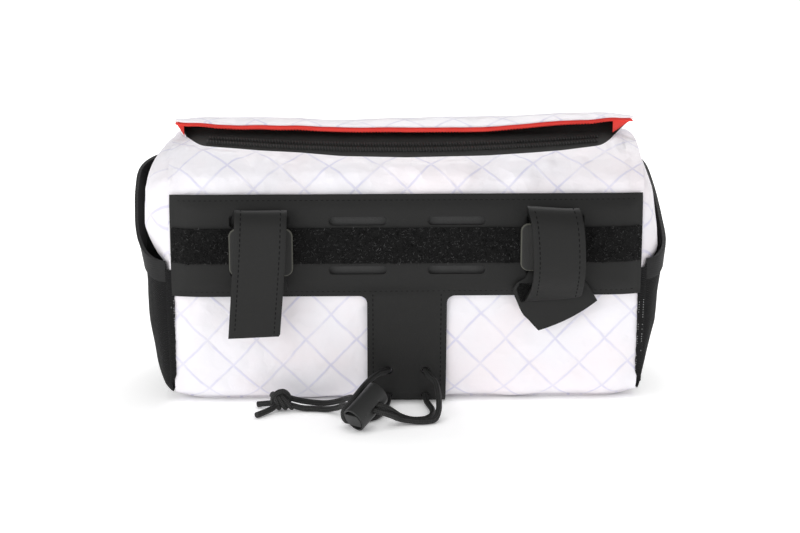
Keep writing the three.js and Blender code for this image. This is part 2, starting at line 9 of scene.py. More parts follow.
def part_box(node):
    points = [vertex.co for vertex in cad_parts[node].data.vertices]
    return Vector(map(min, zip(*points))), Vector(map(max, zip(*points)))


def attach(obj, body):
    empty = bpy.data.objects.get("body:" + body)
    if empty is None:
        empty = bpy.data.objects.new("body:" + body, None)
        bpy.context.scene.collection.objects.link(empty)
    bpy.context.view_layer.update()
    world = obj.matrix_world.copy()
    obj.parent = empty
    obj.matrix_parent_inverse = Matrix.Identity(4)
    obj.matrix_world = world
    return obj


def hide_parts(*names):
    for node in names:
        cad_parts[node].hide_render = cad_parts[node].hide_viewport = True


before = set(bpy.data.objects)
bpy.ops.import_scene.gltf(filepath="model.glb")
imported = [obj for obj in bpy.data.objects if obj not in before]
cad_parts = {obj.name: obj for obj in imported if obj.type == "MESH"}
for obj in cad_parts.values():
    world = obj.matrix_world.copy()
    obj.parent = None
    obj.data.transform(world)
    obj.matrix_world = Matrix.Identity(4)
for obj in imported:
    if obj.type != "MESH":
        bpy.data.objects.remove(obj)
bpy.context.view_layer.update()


# The studio: a pale table top with a painted glow that stands in for overlit paper, and painted shade in that
# glow: less of it near the bag and least where something lies close over it, in an even white room. One large
# soft box stands left of the camera, with weaker ones to its right and high behind the bag. The camera stands
# square to the bag's back, a little above it.
class Wire:
    """A value in a material's nodes: arithmetic on it adds Math nodes, and node() adds a node of any kind."""

    def __init__(self, tree, socket):
        self.tree = tree
        self.socket = socket

    def node(self, kind, settings, inputs, out=0):
        made = self.tree.nodes.new(kind)
        for key, value in settings.items():
            setattr(made, key, value)
        for key, value in inputs.items():
            if isinstance(value, Wire):
                self.tree.links.new(value.socket, made.inputs[key])
            else:
                made.inputs[key].default_value = value
        return Wire(self.tree, made.outputs[out])

    def math(self, operation, a, b=0.0):
        return self.node("ShaderNodeMath", {"operation": operation}, {0: a, 1: b})

    def __add__(self, other):
        return self.math("ADD", self, other)

    __radd__ = __add__

    def __sub__(self, other):
        return self.math("SUBTRACT", self, other)

    def __rsub__(self, other):
        return self.math("SUBTRACT", other, self)

    def __mul__(self, other):
        return self.math("MULTIPLY", self, other)

    __rmul__ = __mul__

    def __truediv__(self, other):
        return self.math("DIVIDE", self, other)

    def __abs__(self):
        return self.math("ABSOLUTE", self)

    def fract(self):
        return self.math("FRACT", self)

    def sine(self):
        return self.math("SINE", self)

    def waves(self, period):
        """A sine of this value that repeats after each period."""
        return (self * (2 * math.pi / period)).sine()

    def least(self, other):
        return self.math("MINIMUM", self, other)

    def fade(self, low, high):
        """0 below low and 1 above high, with a soft step between; the reverse when low is above high."""
        ends = {"From Min": min(low, high), "From Max": max(low, high), "To Min": 0.0, "To Max": 1.0}
        if low > high:
            ends["To Min"], ends["To Max"] = 1.0, 0.0
        return self.node("ShaderNodeMapRange", {"interpolation_type": "SMOOTHSTEP"}, {"Value": self, **ends})

    def tint(self, none, full):
        """A colour between two, with this value as the share of the second."""
        rgb = {"data_type": "RGBA", "clamp_factor": True}
        inks = {6: none, 7: full}
        for key, ink in inks.items():
            if not isinstance(ink, Wire):
                inks[key] = (*ink, 1.0)
        return self.node("ShaderNodeMix", rgb, {0: self, **inks}, 2)

    def grey(self, dark, light):
        """A grey between two, with this value as the share of the second."""
        return self.tint((dark,) * 3, (light,) * 3)

    def grain(self, scale, detail=2.0, rough=0.5):
        """Noise on these coordinates."""
        inputs = {"Vector": self, "Scale": scale, "Detail": detail, "Roughness": rough}
        return self.node("ShaderNodeTexNoise", {}, inputs)

    def part(self, axis):
        return self.node("ShaderNodeSeparateXYZ", {}, {0: self}, axis)

    def on_map(self, name):
        """Coordinates from one of the piece's own UV maps."""
        return self.node("ShaderNodeUVMap", {"uv_map": name}, {})

    def feed(self, name):
        self.tree.links.new(self.socket, self.tree.nodes["Principled BSDF"].inputs[name])

    def emboss(self, depth):
        """This value as relief, depth metres from 0 to 1."""
        self.node("ShaderNodeBump", {}, {"Height": self, "Distance": depth, "Strength": 1.0}).feed("Normal")


def finish_named(name, **fixed):
    """A material with its uniform numbers set, and the object's coordinates to paint it by."""
    material = bpy.data.materials.new(name)
    material.use_nodes = True
    tree = material.node_tree
    shader = tree.nodes["Principled BSDF"]
    for key, value in fixed.items():
        shader.inputs[key.replace("_", " ")].default_value = value
    start = Wire(tree, None)
    return material, start.node("ShaderNodeTexCoord", {}, {}, 3)


PAPER = {"side": 30.0, "behind": 1.5, "cuts": 4, "painted_glow": 0.66}
# The painted glow's share close to the bag, which is painted shade, where it starts to rise and is full, and
# how near a cover takes it away as painted contact shade.
PAINTED_GLOW = {"close": 0.66, "from": 0.15, "full": 0.8, "cover": 0.006}
bpy.context.scene.view_settings.view_transform = "Standard"
bpy.ops.object.select_all(action="DESELECT")
bpy.ops.mesh.primitive_plane_add(size=PAPER["side"], location=(0.0, PAPER["behind"], 0.0))
table_top = bpy.context.object
table_top.name = "table_top"
bpy.ops.object.transform_apply(location=True)
bpy.ops.object.mode_set(mode="EDIT")
bpy.ops.mesh.select_all(action="SELECT")
bpy.ops.mesh.subdivide(number_cuts=PAPER["cuts"])
bpy.ops.object.mode_set(mode="OBJECT")
paper, at = finish_named("white_paper_painted_glow", Roughness=0.7, Emission_Strength=PAPER["painted_glow"])
# The paper's glow is painted light. It is weaker near the bag and weaker still where ambient occlusion finds
# something close over the paper: painted shade.
from_bag = at.node("ShaderNodeVectorMath", {"operation": "LENGTH"}, {0: at}, 1)
painted_cover_shade = at.node("ShaderNodeAmbientOcclusion", {"samples": 8}, {"Distance": PAINTED_GLOW["cover"]}, 1)
painted_glow = (from_bag.fade(PAINTED_GLOW["from"], PAINTED_GLOW["full"]) * (1 - PAINTED_GLOW["close"]) + PAINTED_GLOW["close"]) * painted_cover_shade
painted_glow.grey(0.0, 1.0).feed("Emission Color")
at.grain(35.0).grey(0.93, 0.95).feed("Base Color")
at.grain(900.0).emboss(0.00002)
table_top.data.materials.append(paper)

ROOM_LIGHT = 0.52
room = bpy.data.worlds.new("white_room")
room.use_nodes = True
room.node_tree.nodes["Background"].inputs["Color"].default_value = (1.0, 1.0, 1.0, 1.0)
room.node_tree.nodes["Background"].inputs["Strength"].default_value = ROOM_LIGHT
bpy.context.scene.world = room

BAG_MIDDLE = Vector((0.0, 0.0, 0.07))
SOFT_BOXES = {
    "window": {"at": (-1.05, -1.4, 0.6), "size": 1.6, "watts": 14.3},
    "fill": {"at": (1.1, -1.3, 0.35), "size": 1.2, "watts": 2.6},
    "back_light": {"at": (0.2, 0.95, 1.3), "size": 1.0, "watts": 10.0},
}
for box_name, box in SOFT_BOXES.items():
    bpy.ops.object.light_add(type="AREA", location=box["at"])
    soft_box = bpy.context.object
    soft_box.name = box_name
    soft_box.data.shape = "SQUARE"
    soft_box.data.size = box["size"]
    soft_box.data.energy = box["watts"]
    soft_box.rotation_euler = (BAG_MIDDLE - soft_box.location).to_track_quat("-Z", "Y").to_euler()

SHELL_LOW, SHELL_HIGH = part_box("shell")
LOOK_HEIGHT = 0.066
LOOK_AT = Vector(((SHELL_LOW[0] + SHELL_HIGH[0]) / 2, SHELL_LOW[1], LOOK_HEIGHT))
CAMERA = {"turn": math.radians(1.5), "rise": math.radians(13.5), "away": 0.88, "film": 36.0, "lens": 79.2}
# How far the lens is shifted, in pixels of a picture of this width.
PICTURE_WIDE = 800
LENS_CENTRE_OFF = (-7.0, 15.2)
toward_camera = Vector(
    (
        -math.sin(CAMERA["turn"]) * math.cos(CAMERA["rise"]),
        -math.cos(CAMERA["turn"]) * math.cos(CAMERA["rise"]),
        math.sin(CAMERA["rise"]),
    )
)
bpy.ops.object.camera_add(location=LOOK_AT + CAMERA["away"] * toward_camera)
camera = bpy.context.object
camera.rotation_euler = (-toward_camera).to_track_quat("-Z", "Y").to_euler()
camera.data.sensor_width = CAMERA["film"]
camera.data.lens = CAMERA["lens"]
camera.data.shift_x = LENS_CENTRE_OFF[0] / PICTURE_WIDE
camera.data.shift_y = LENS_CENTRE_OFF[1] / PICTURE_WIDE
bpy.context.scene.camera = camera


# Shell: the body of the bag, one tube of white laminate cloth sewn closed under its bottom, with a long mouth
# for the zip along its top back edge. Coloured yarns cross in it as diamonds and draw it into soft pads.
MM = 0.001
MIDDLE_X = LOOK_AT.x / MM
BACK_Y = LOOK_AT.y / MM
HALF = 118.5
TUCK = 3.5
TUCK_FROM = 100.0
# The cross-section as arcs from under the back hem, up the back, over the top and down the front: each one's
# radius, and the height of its outward normal in degrees where it ends.
ARCS = [
    (12.0, -14.0),
    (292.0, 6.0),
    (20.0, 56.0),
    (65.0, 78.0),
    (80.0, 90.0),
    (240.0, 97.0),
    (36.0, 168.0),
    (243.562, 190.0),
    (16.0, 270.0),
]
FLOOR_START = 366.805
AROUND = 442.2
HEM_START = 20.317


def section_at(s):
    """Depth, height and normal angle of the cross-section, s millimetres along the cloth."""
    s = s % AROUND
    y, z, angle = HEM_START, 0.0, math.radians(-90.0)
    for radius, turn_to in ARCS:
        turn = math.radians(turn_to) - angle
        here = min(s, radius * turn)
        y += radius * (math.cos(angle) - math.cos(angle + here / radius))
        z += radius * (math.sin(angle + here / radius) - math.sin(angle))
        angle += here / radius
        s -= here
        if here < radius * turn:
            return y, z, angle
    return y - s, 0.0, angle


def clamp(value, low=0.0, high=1.0):
    return max(low, min(high, value))


def lerp(a, b, share):
    return a + (b - a) * share


def smoothstep(value, low, high):
    share = clamp((value - low) / (high - low))
    return share * share * (3 - 2 * share)


def placed(x, y, z):
    """A point of the bag in metres, from millimetres off its middle, its back and the floor."""
    return Vector(((x + MIDDLE_X) * MM, (y + BACK_Y) * MM, z * MM))


def skin(x, s, lift=0.0):
    y, z, angle = section_at(s)
    pull = TUCK * clamp((min(abs(x), HALF) - TUCK_FROM) / (HALF - TUCK_FROM)) ** 2
    out = lift - pull
    return placed(x, y - math.cos(angle) * out, z + math.sin(angle) * out)


def grid(name, columns, rows):
    """A flat grid from -1 to 1 across and along, with nothing else selected, ready to be laid in place."""
    bpy.ops.object.select_all(action="DESELECT")
    bpy.ops.mesh.primitive_grid_add(x_subdivisions=columns, y_subdivisions=rows, size=2.0)
    made = bpy.context.object
    made.name = name
    made.data.name = name
    return made


def lay(piece, place):
    """Puts each vertex of a grid where place(across, along) says; its UV map keeps millimetres of cloth."""
    mesh = piece.data
    flat = []
    for vertex in mesh.vertices:
        point, on_cloth = place(vertex.co.x, vertex.co.y)
        vertex.co = point
        flat.append(on_cloth)
    cloth = mesh.uv_layers[0]
    cloth.name = "cloth"
    for loop in mesh.loops:
        cloth.data[loop.index].uv = flat[loop.vertex_index]


def apply_modifier(piece, kind, **settings):
    bpy.context.view_layer.objects.active = piece
    modifier = piece.modifiers.new(kind.lower(), kind)
    for key, value in settings.items():
        setattr(modifier, key, value)
    bpy.ops.object.modifier_apply(modifier=modifier.name)


def edit(piece, *steps):
    """Runs edit-mode operators on everything in a piece."""
    bpy.ops.object.select_all(action="DESELECT")
    piece.select_set(True)
    bpy.context.view_layer.objects.active = piece
    bpy.ops.object.mode_set(mode="EDIT")
    bpy.ops.mesh.select_all(action="SELECT")
    for operator, settings in steps:
        operator(**settings)
    bpy.ops.object.mode_set(mode="OBJECT")


def pick(piece, kind, wanted):
    """Opens a piece in edit mode with only its wanted faces or edges selected."""
    bpy.ops.object.mode_set(mode="EDIT")
    bpy.ops.mesh.select_mode(type=kind)
    bpy.ops.mesh.select_all(action="DESELECT")
    bpy.ops.object.mode_set(mode="OBJECT")
    for element in piece.data.polygons if kind == "FACE" else piece.data.edges:
        element.select = wanted(element)
    bpy.ops.object.mode_set(mode="EDIT")


def smooth(piece, degrees):
    bpy.ops.object.select_all(action="DESELECT")
    piece.select_set(True)
    bpy.context.view_layer.objects.active = piece
    bpy.ops.object.shade_smooth_by_angle(angle=math.radians(degrees))


# The zip's mouth: where its lower edge runs along the bag, and its top edge, which the flap hides.
MOUTH = {"left": 116.2, "right": 112.0, "high": 199.0, "corner": 14.5}
MOUTH_EDGE = (
    (-118, -111, -107, -102, -96, -85, -73, -54, -33, 0, 40, 62, 79, 96, 103, 112),
    (158, 155.2, 153.5, 150.8, 149.6, 148, 146, 144.2, 141, 139.7, 140.9, 143, 145.2, 149, 151.5, 153.5),
)
DEEPEST = 1.45
HIGHEST = 1.9
PAD_PITCH = 24.5
YARN_FORWARD = 12.3
YARN_BACK = 11.8
# Where the yarns lie: the cloth is a little stretched along the bag, and more so up its lower back.
YARN_ALONG = 24.5 / 25.2
YARN_UP = ((0.0, 57.0, 120.7, 145.0, 442.2), (0.0, 49.9, 110.5, 135.3, 438.0))


def on_yarns(x, s):
    """A place on the cloth, measured in millimetres of the relaxed laminate."""
    return x * YARN_ALONG, float(np.interp(s, *YARN_UP))


def mouth_half(x):
    return MOUTH["left"] if x < 0 else MOUTH["right"]


def mouth_low(x):
    t = clamp((abs(x) - mouth_half(x) + MOUTH["corner"]) / MOUTH["corner"])
    edge = float(np.interp(x, *MOUTH_EDGE))
    return edge + (MOUTH["high"] - 1 - edge) * (1 - math.sqrt(1 - t * t))


# Single folds, sharp on one side and soft on the other: steep ones that run down from the zip, and fainter
# ones over the rest of the cloth. Each is its middle, direction, half length, half width and depth.
FOLD_GROUPS = (
    {"count": 54, "low": 119, "high": 152, "spread": 0.9, "deep": 2.1},
    {"count": 60, "low": 12, "high": 66, "spread": 1.6, "deep": 0.8},
    {"count": 110, "low": 200, "high": 366, "spread": 1.6, "deep": 0.9},
)
FOLD = {"within": 114, "long": (7.0, 19.0), "wide": (2.4, 4.6), "share": (0.4, 1.0), "reach": 30.0}
creaser = random.Random(11)
FOLDS = []
for group in FOLD_GROUPS:
    for k in range(group["count"]):
        FOLDS.append(
            (
                creaser.uniform(-FOLD["within"], FOLD["within"]),
                creaser.uniform(group["low"], group["high"]),
                math.pi / 2 + creaser.uniform(-group["spread"], group["spread"]),
                creaser.uniform(*FOLD["long"]),
                creaser.uniform(*FOLD["wide"]),
                group["deep"] * creaser.uniform(*FOLD["share"]) * creaser.choice((-1, 1)),
            )
        )
# Puckers fan out from the zip's two ends, the hem waves along the floor, and the cloth swells under the zip.
PUCKER = {"x": 108.0, "s": 156.0, "reach": 15, "deep": 0.8, "rays": 9}
HEM = {"deep": 2.4, "wave": 22, "top": 20.0, "full": 14.0}
LOOSE_FROM, LOOSE_TO = 112.0, 124.0
SWELL = {"up": (119.0, 126.0), "off_zip": (1.0, 8.0), "within": 114, "fades": 9.0}
ZIP_EDGE = {"sunk": 0.75, "wide": 7.0}


def ruffle(x, s):
    """How far the cloth sits under its tight shape: pads between the yarns, slack folds, puckers at the zip.
    It never sinks as far as the zip's tape, which lies under its edge."""
    u, v = on_yarns(x, s)
    forward = abs(math.sin(math.pi * (u + v - YARN_FORWARD) / PAD_PITCH))
    back = abs(math.sin(math.pi * (u - v - YARN_BACK) / PAD_PITCH))
    pad = 0.6 * (1 - (forward * back) ** 0.6)
    slack = 0.4 * noise.noise((x / 34, s / 26, 1.7))
    loose = 0.8 + 1.1 * smoothstep(s, LOOSE_FROM, LOOSE_TO)
    fold = loose * noise.noise((x / 12 + s / 60, s / 9.5 - x / 40, 6.3))
    fold += 0.5 * loose * noise.noise((x / 6.5, s / 5.5 + x / 20, 3.9))
    for at_x, at_s, turn, long, wide, deep in FOLDS:
        dx, ds = x - at_x, s - at_s
        if abs(dx) < FOLD["reach"] and abs(ds) < FOLD["reach"]:
            run = (dx * math.cos(turn) + ds * math.sin(turn)) / long
            off = (ds * math.cos(turn) - dx * math.sin(turn)) / wide
            fold += deep * math.exp(-run * run - (off * off if off > 0 else off * off / 5))
    pucker = 0.0
    for side in (-1, 1):
        dx, ds = side * x - PUCKER["x"], s - PUCKER["s"]
        reach = math.hypot(dx, ds)
        fan = math.sin(PUCKER["rays"] * math.atan2(ds, dx) + 1.3 * reach / 6)
        pucker += PUCKER["deep"] * math.exp(-((reach / PUCKER["reach"]) ** 2)) * fan
    hem = HEM["deep"] * (0.2 + noise.noise((x / HEM["wave"], 0.0, 8.8)))
    hem *= smoothstep(HEM["top"] - s, 0.0, HEM["full"])
    edge = mouth_low(clamp(x, -MOUTH["left"], MOUTH["right"])) - s
    swell = HIGHEST * smoothstep(s, *SWELL["up"]) * smoothstep(edge, *SWELL["off_zip"])
    swell *= smoothstep(SWELL["within"] - abs(x), 0.0, SWELL["fades"])
    share = 0.5 + 0.5 * math.tanh((pad + slack + fold + pucker + hem - 0.2) / (0.8 + 0.4 * swell))
    by_zip = 1 - smoothstep(abs(edge), 0.0, ZIP_EDGE["wide"])
    return lerp((DEEPEST + swell) * share - swell, ZIP_EDGE["sunk"], by_zip)


SHELL_COLUMNS = 92
SHELL_ROWS = 146
MOUTH_LOW_ROW = 53
MOUTH_HIGH_ROW = 66
EVEN_ROWS = 42
EVEN_TO = 118.0
END_COLUMNS = 2


def shell_station(across, along):
    """x and s at a place of the shell's grid, whose lines follow the zip's mouth."""
    column = (across + 1) / 2 * SHELL_COLUMNS - SHELL_COLUMNS / 2
    inner = SHELL_COLUMNS / 2 - END_COLUMNS
    half = mouth_half(column)
    share = min(abs(column), inner) / inner
    x = half * lerp(share, math.sin(share * math.pi / 2), 0.55)
    x += (HALF - half) * max(0.0, abs(column) - inner) / END_COLUMNS
    x = math.copysign(x, column)
    row = (along + 1) / 2 * SHELL_ROWS
    low = mouth_low(clamp(x, -MOUTH["left"], MOUTH["right"]))
    if row <= EVEN_ROWS:
        return x, EVEN_TO * row / EVEN_ROWS
    if row <= MOUTH_LOW_ROW:
        return x, lerp(EVEN_TO, low, (row - EVEN_ROWS) / (MOUTH_LOW_ROW - EVEN_ROWS))
    if row <= MOUTH_HIGH_ROW:
        share = (row - MOUTH_LOW_ROW) / (MOUTH_HIGH_ROW - MOUTH_LOW_ROW)
        return x, lerp(low, MOUTH["high"], share)
    share = (row - MOUTH_HIGH_ROW) / (SHELL_ROWS - MOUTH_HIGH_ROW)
    return x, lerp(MOUTH["high"], AROUND, share)


def shell_point(across, along):
    x, s = shell_station(across, along)
    seam = smoothstep(HALF - abs(x), 0.0, 5.0)
    floor = smoothstep(s, FLOOR_START - 30, FLOOR_START)
    return skin(x, s, -ruffle(x, s) * seam * (1 - floor)), on_yarns(x, s)


shell = grid("bag_shell", SHELL_COLUMNS, SHELL_ROWS)
in_mouth = set()
for vertex in shell.data.vertices:
    row = (vertex.co.y + 1) / 2 * SHELL_ROWS
    column = abs(vertex.co.x) * SHELL_COLUMNS / 2
    if MOUTH_LOW_ROW - 0.5 < row < MOUTH_HIGH_ROW + 0.5 and column < SHELL_COLUMNS / 2 - END_COLUMNS + 0.5:
        in_mouth.add(vertex.index)
lay(shell, shell_point)
pick(shell, "FACE", lambda face: all(k in in_mouth for k in face.vertices))
bpy.ops.mesh.delete(type="FACE")
bpy.ops.mesh.select_all(action="SELECT")
bpy.ops.mesh.remove_doubles(threshold=0.00002)
bpy.ops.object.mode_set(mode="OBJECT")
CLOTH_THICK = 1.2


END_CENTRE = (54.0, 67.0)
INSIDE = placed(0.0, *END_CENTRE)


def outward(piece):
    """Turns an open sheet's faces away from the middle of the bag."""
    facing = sum((face.center - INSIDE).dot(face.normal) * face.area for face in piece.data.polygons)
    if facing < 0:
        edit(piece, (bpy.ops.mesh.flip_normals, {}))


outward(shell)
apply_modifier(shell, "SUBSURF", levels=1, render_levels=1)
apply_modifier(shell, "SOLIDIFY", thickness=CLOTH_THICK * MM, offset=-1.0)
smooth(shell, 50.0)


def laminate(name):
    """White laminate: pale lavender yarns in diamonds under a smooth, faintly rosy skin that crinkles."""
    material, at = finish_named(name, Specular_IOR_Level=0.42)
    cloth = at.on_map("cloth")
    x, s = cloth.part(0), cloth.part(1)
    wander = at.grain(45.0, 2.0) * 3.0 + at.grain(190.0, 2.0) * 0.9 - 1.95
    forward = abs(((x + s + wander - YARN_FORWARD) / PAD_PITCH + 0.5).fract() - 0.5)
    back = abs(((x - s + wander - YARN_BACK) / PAD_PITCH + 0.5).fract() - 0.5)
    off_yarn = forward.least(back) * (PAD_PITCH / math.sqrt(2.0))
    yarn = off_yarn.fade(0.85, 0.2)
    strength = at.grain(90.0, 3.0).fade(0.3, 0.7) * 0.4 + 0.22
    rosy = at.grain(28.0, 3.0).fade(0.35, 0.75)
    ground = rosy.tint((0.875, 0.86, 0.9), (0.895, 0.84, 0.87))
    (yarn * strength).tint(ground, (0.58, 0.57, 0.77)).feed("Base Color")
    crinkle = at.grain(160.0, 4.0, 0.6)
    valleys = abs(at.grain(27.0, 2.0) * 2.0 - 1.0)
    ridges = abs(at.grain(62.0, 2.0) * 2.0 - 1.0)
    crumple = (valleys * 6.0 - ridges * 3.2) * (s.fade(98.0, 126.0) * 0.45 + 0.55)
    weave = (x * 9.0).sine() * (s * 9.0).sine()
    (crumple + crinkle * 1.0 + yarn * 0.25 + weave * 0.03).emboss(0.00045)
    (crinkle * 0.2 + 0.32).feed("Roughness")
    return material


white_laminate = laminate("white_laminate")
shell.data.materials.append(white_laminate)
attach(shell, "bag")
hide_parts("shell")


# End caps: the two white ends, cut as rounded panels and sewn inside the shell's open ends. The bag slumps to
# one side, so the left one is fuller. Both bulge less towards the floor.
BULGE_HEIGHTS = [0, 8, 20, 40, 57, 72, 80, 90, 110, 120, 140]
BULGES = {
    "left_cap": [3, 3.4, 4, 5.5, 6.2, 6.4, 7.4, 10.6, 14.8, 14.5, 14],
    "left_pocket": [3.6, 8.9, 10.7, 12.6, 13.5, 13.8, 15.2, 19, 24.4, 27, 27],
    "right_cap": [1, 1, 1, 2.8, 3.6, 5, 6, 6.4, 6.8, 5.8, 3],
    "right_pocket": [0.5, 2.6, 5.5, 10, 10.8, 12.3, 13.2, 13.4, 13.8, 13, 13],
}
# Both caps swell further towards the back, above the pockets' mouths.
CAP_SWELL = {
    "left_cap": (
        (60, 74, 77, 80, 85, 91, 97, 106, 112, 117, 123, 128, 140),
        (0, 0.3, 3.0, 4.4, 5.6, 6.1, 4.7, 3.0, 3.2, 4.6, 6.2, 6.6, 5.0),
    ),
    "right_cap": (
        (50, 66, 73, 76, 80, 85, 92, 100, 109, 115, 120, 136),
        (0, 1.6, 3.4, 6.8, 7.0, 6.2, 5.6, 4.4, 3.4, 2.6, 1.9, 0.3),
    ),
}
SWELL_DEPTH = (22.0, 52.0)
SIDES = {"left": -1, "right": 1}


def dome_point(sign, bulge, inset, start, s, share):
    """A point of a bulging end: share is 1 at its seam and 0 in its middle. Also its depth and height."""
    y, z, angle = section_at(s)
    out = -inset - TUCK
    rim_y, rim_z = y - math.cos(angle) * out, z + math.sin(angle) * out
    y, z = lerp(END_CENTRE[0], rim_y, share), lerp(END_CENTRE[1], rim_z, share)
    full = float(np.interp(z, BULGE_HEIGHTS, BULGES[bulge]))
    if bulge in CAP_SWELL:
        full += float(np.interp(z, *CAP_SWELL[bulge])) * (1 - smoothstep(y, *SWELL_DEPTH))
    x = start + full * max(0.0, 1 - share**6) ** 0.6
    return placed(sign * x, y, z), (y, z)


def dome(name, sign, bulge, inset, start, wrinkle=0.0, spokes=110, rings=26):
    made = grid(name, spokes, rings)

    def on_dome(across, along):
        share = math.sin((along + 1) / 4 * math.pi)
        s = (across + 1) / 2 * AROUND
        point, flat = dome_point(sign, bulge, inset, start, s, share)
        crease = noise.noise((flat[0] / 22, flat[1] / 18, 3.1 + sign)) - 1
        point.x += sign * wrinkle * crease * smoothstep(1 - share, 0.0, 0.12) * MM
        return point, flat

    lay(made, on_dome)
    edit(made, (bpy.ops.mesh.remove_doubles, {"threshold": 0.00003}))
    outward(made)
    return made


CAP = {"inset": 1.7, "start": HALF - 1.2, "wrinkle": 0.9}
for side, sign in SIDES.items():
    cap = dome(f"end_cap_{side}_cloth", sign, side + "_cap", CAP["inset"], CAP["start"], CAP["wrinkle"])
    apply_modifier(cap, "SOLIDIFY", thickness=CLOTH_THICK * MM, offset=-1.0)
    smooth(cap, 60.0)
    cap.data.materials.append(white_laminate)
    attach(cap, "bag")
    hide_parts("end_cap_" + side)


# Zip: a black woven tape sewn under the edges of the mouth, with two rows of moulded coil along its middle.
# It is closed from end to end, and plain tape shows beyond the coil at both ends. It rises under the storm
# flap, so the flap's own shape comes first.
FLAP = {"half": 118.2, "root_half": 113.0, "edge": 160.0, "sweep": 10.0, "root": 206.0, "sewn": -0.8}
FLAP_THICK = 1.0
FLAP_BILLOW = (
    (-119, -100, -82, -50, -36, -6, 32, 92, 108, 119),
    (0.3, 1.8, 1.8, 0.4, 0.3, 1.0, 1.9, 2.2, 1.2, 0.3),
)
# How far the free edge stands off the bag, from one ear to the other.
FLAP_EDGE_LIFT = (
    (-118, -115, -111, -103, -96, -85, -73, -54, -33, 7, 40, 62, 79, 96, 107, 112, 118),
    (8.4, 6.5, 5.3, 4.2, 3.5, 3.6, 4.3, 4.6, 4.0, 4.0, 3.6, 4.7, 5.4, 5.3, 6.4, 6.8, 8.5),
)


def flap_edge(x):
    return FLAP["edge"] + FLAP["sweep"] * (x / FLAP["half"]) ** 2


def flap_lift(x, s):
    """How far the flap's under side stands off the bag."""
    share = clamp((s - flap_edge(x)) / (FLAP["root"] - flap_edge(x)))
    free = 1 - smoothstep(share, 0.55, 1.0)
    wave = 0.5 * noise.noise((x / 40, s / 30, 2.2)) + 0.25 * noise.noise((x / 14, s / 16, 5.2))
    billow = float(np.interp(x, *FLAP_BILLOW)) * math.sin(math.pi * min(1.0, share * 1.1)) ** 0.8
    edge = float(np.interp(x, *FLAP_EDGE_LIFT))
    return lerp(edge, FLAP["sewn"], smoothstep(share, 0.0, 1.0)) + (0.45 + wave) * free + billow


def sewn_layer(name, columns, rows, place, thick, offset, degrees):
    """A grid laid in place, faced outwards and given its thickness, in millimetres."""
    made = grid(name, columns, rows)
    lay(made, place)
    outward(made)
    apply_modifier(made, "SOLIDIFY", thickness=thick * MM, offset=offset)
    smooth(made, degrees)
    return made


TAPE = {"under": -1.75, "below_flap": 1.0, "short": 1.3, "narrows": 0.022, "hem": 4.0, "thick": 0.9}
TAPE_RISES = (172.0, 186.0)
TAPE_FALLS = (192.0, 198.0)


def tape_point(across, along):
    x = (mouth_half(across) - TAPE["short"]) * across
    s = lerp(mouth_low(x) - TAPE["hem"], MOUTH["high"] + TAPE["hem"], (along + 1) / 2)
    risen = smoothstep(s, *TAPE_RISES) * (1 - smoothstep(s, *TAPE_FALLS))
    lift = lerp(TAPE["under"], max(TAPE["under"], flap_lift(x, s) - TAPE["below_flap"]), risen)
    x *= 1 - TAPE["narrows"] * risen
    return skin(x, s, lift - 0.25 * noise.noise((x / 19, s / 15, 9.0))), (x, s)


tape = sewn_layer("zip_tape_weave", 120, 36, tape_point, TAPE["thick"], -1.0, 50.0)
woven_black, at = finish_named("zip_weave", Specular_IOR_Level=0.25)
cloth = at.on_map("cloth")
ribs = cloth.part(0).waves(0.9) * cloth.part(1).waves(0.55)
dust = at.grain(240.0, 3.0)
dust.tint((0.032, 0.032, 0.031), (0.054, 0.054, 0.052)).feed("Base Color")
(dust * 0.2 + 0.72).feed("Roughness")
(ribs * 0.5 + dust * 0.3).emboss(0.00016)
tape.data.materials.append(woven_black)
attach(tape, "bag")
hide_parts("zip_tape")


def bead(long, wide, high, segments=8, rings=5):
    """One small rounded bar, long along X, as points and faces to be repeated."""
    bpy.ops.object.select_all(action="DESELECT")
    bpy.ops.mesh.primitive_uv_sphere_add(segments=segments, ring_count=rings, radius=0.5)
    made = bpy.context.object
    points = []
    for vertex in made.data.vertices:
        x, y, z = vertex.co
        stretch = math.copysign(abs(2 * z) ** 0.6, z) / 2
        points.append((stretch * long, x * wide, y * high))
    faces = [tuple(face.vertices) for face in made.data.polygons]
    bpy.data.objects.remove(made)
    return points, faces


def piece_of(name, points, faces):
    """A new piece from its points in metres and its faces."""
    mesh = bpy.data.meshes.new(name)
    mesh.from_pydata(points, [], faces)
    made = bpy.data.objects.new(name, mesh)
    bpy.context.collection.objects.link(made)
    return made


def repeated(name, shape, spots, shades=None):
    """Copies of a small shape in one piece; each spot is a point and three directions, in metres."""
    points, faces = shape
    all_points, all_faces, all_shades = [], [], []
    for k, (origin, along, across, up) in enumerate(spots):
        first = len(all_points)
        for x, y, z in points:
            all_points.append(origin + (along * x + across * y + up * z) * MM)
        all_faces.extend(tuple(first + i for i in face) for face in faces)
        all_shades.extend([shades[k] if shades else 0.5] * len(points))
    made = piece_of(name, all_points, all_faces)
    shade = made.data.attributes.new("shade", "FLOAT", "POINT")
    shade.data.foreach_set("value", all_shades)
    edit(made, (bpy.ops.mesh.normals_make_consistent, {"inside": False}))
    smooth(made, 60.0)
    return made


def spot_on_skin(x, s, lift, heading=0.0):
    """A point on the cloth with its directions: along the heading from +X, across it, and out."""
    origin = skin(x, s, lift)
    east = (skin(x + 0.5, s, lift) - origin).normalized()
    up = (skin(x, s, lift + 1.0) - origin).normalized()
    north = up.cross(east).normalized()
    if (skin(x, s + 0.5, lift) - origin).dot(north) < 0:
        north = -north
    along = east * math.cos(heading) + north * math.sin(heading)
    return origin, along, up.cross(along).normalized(), up


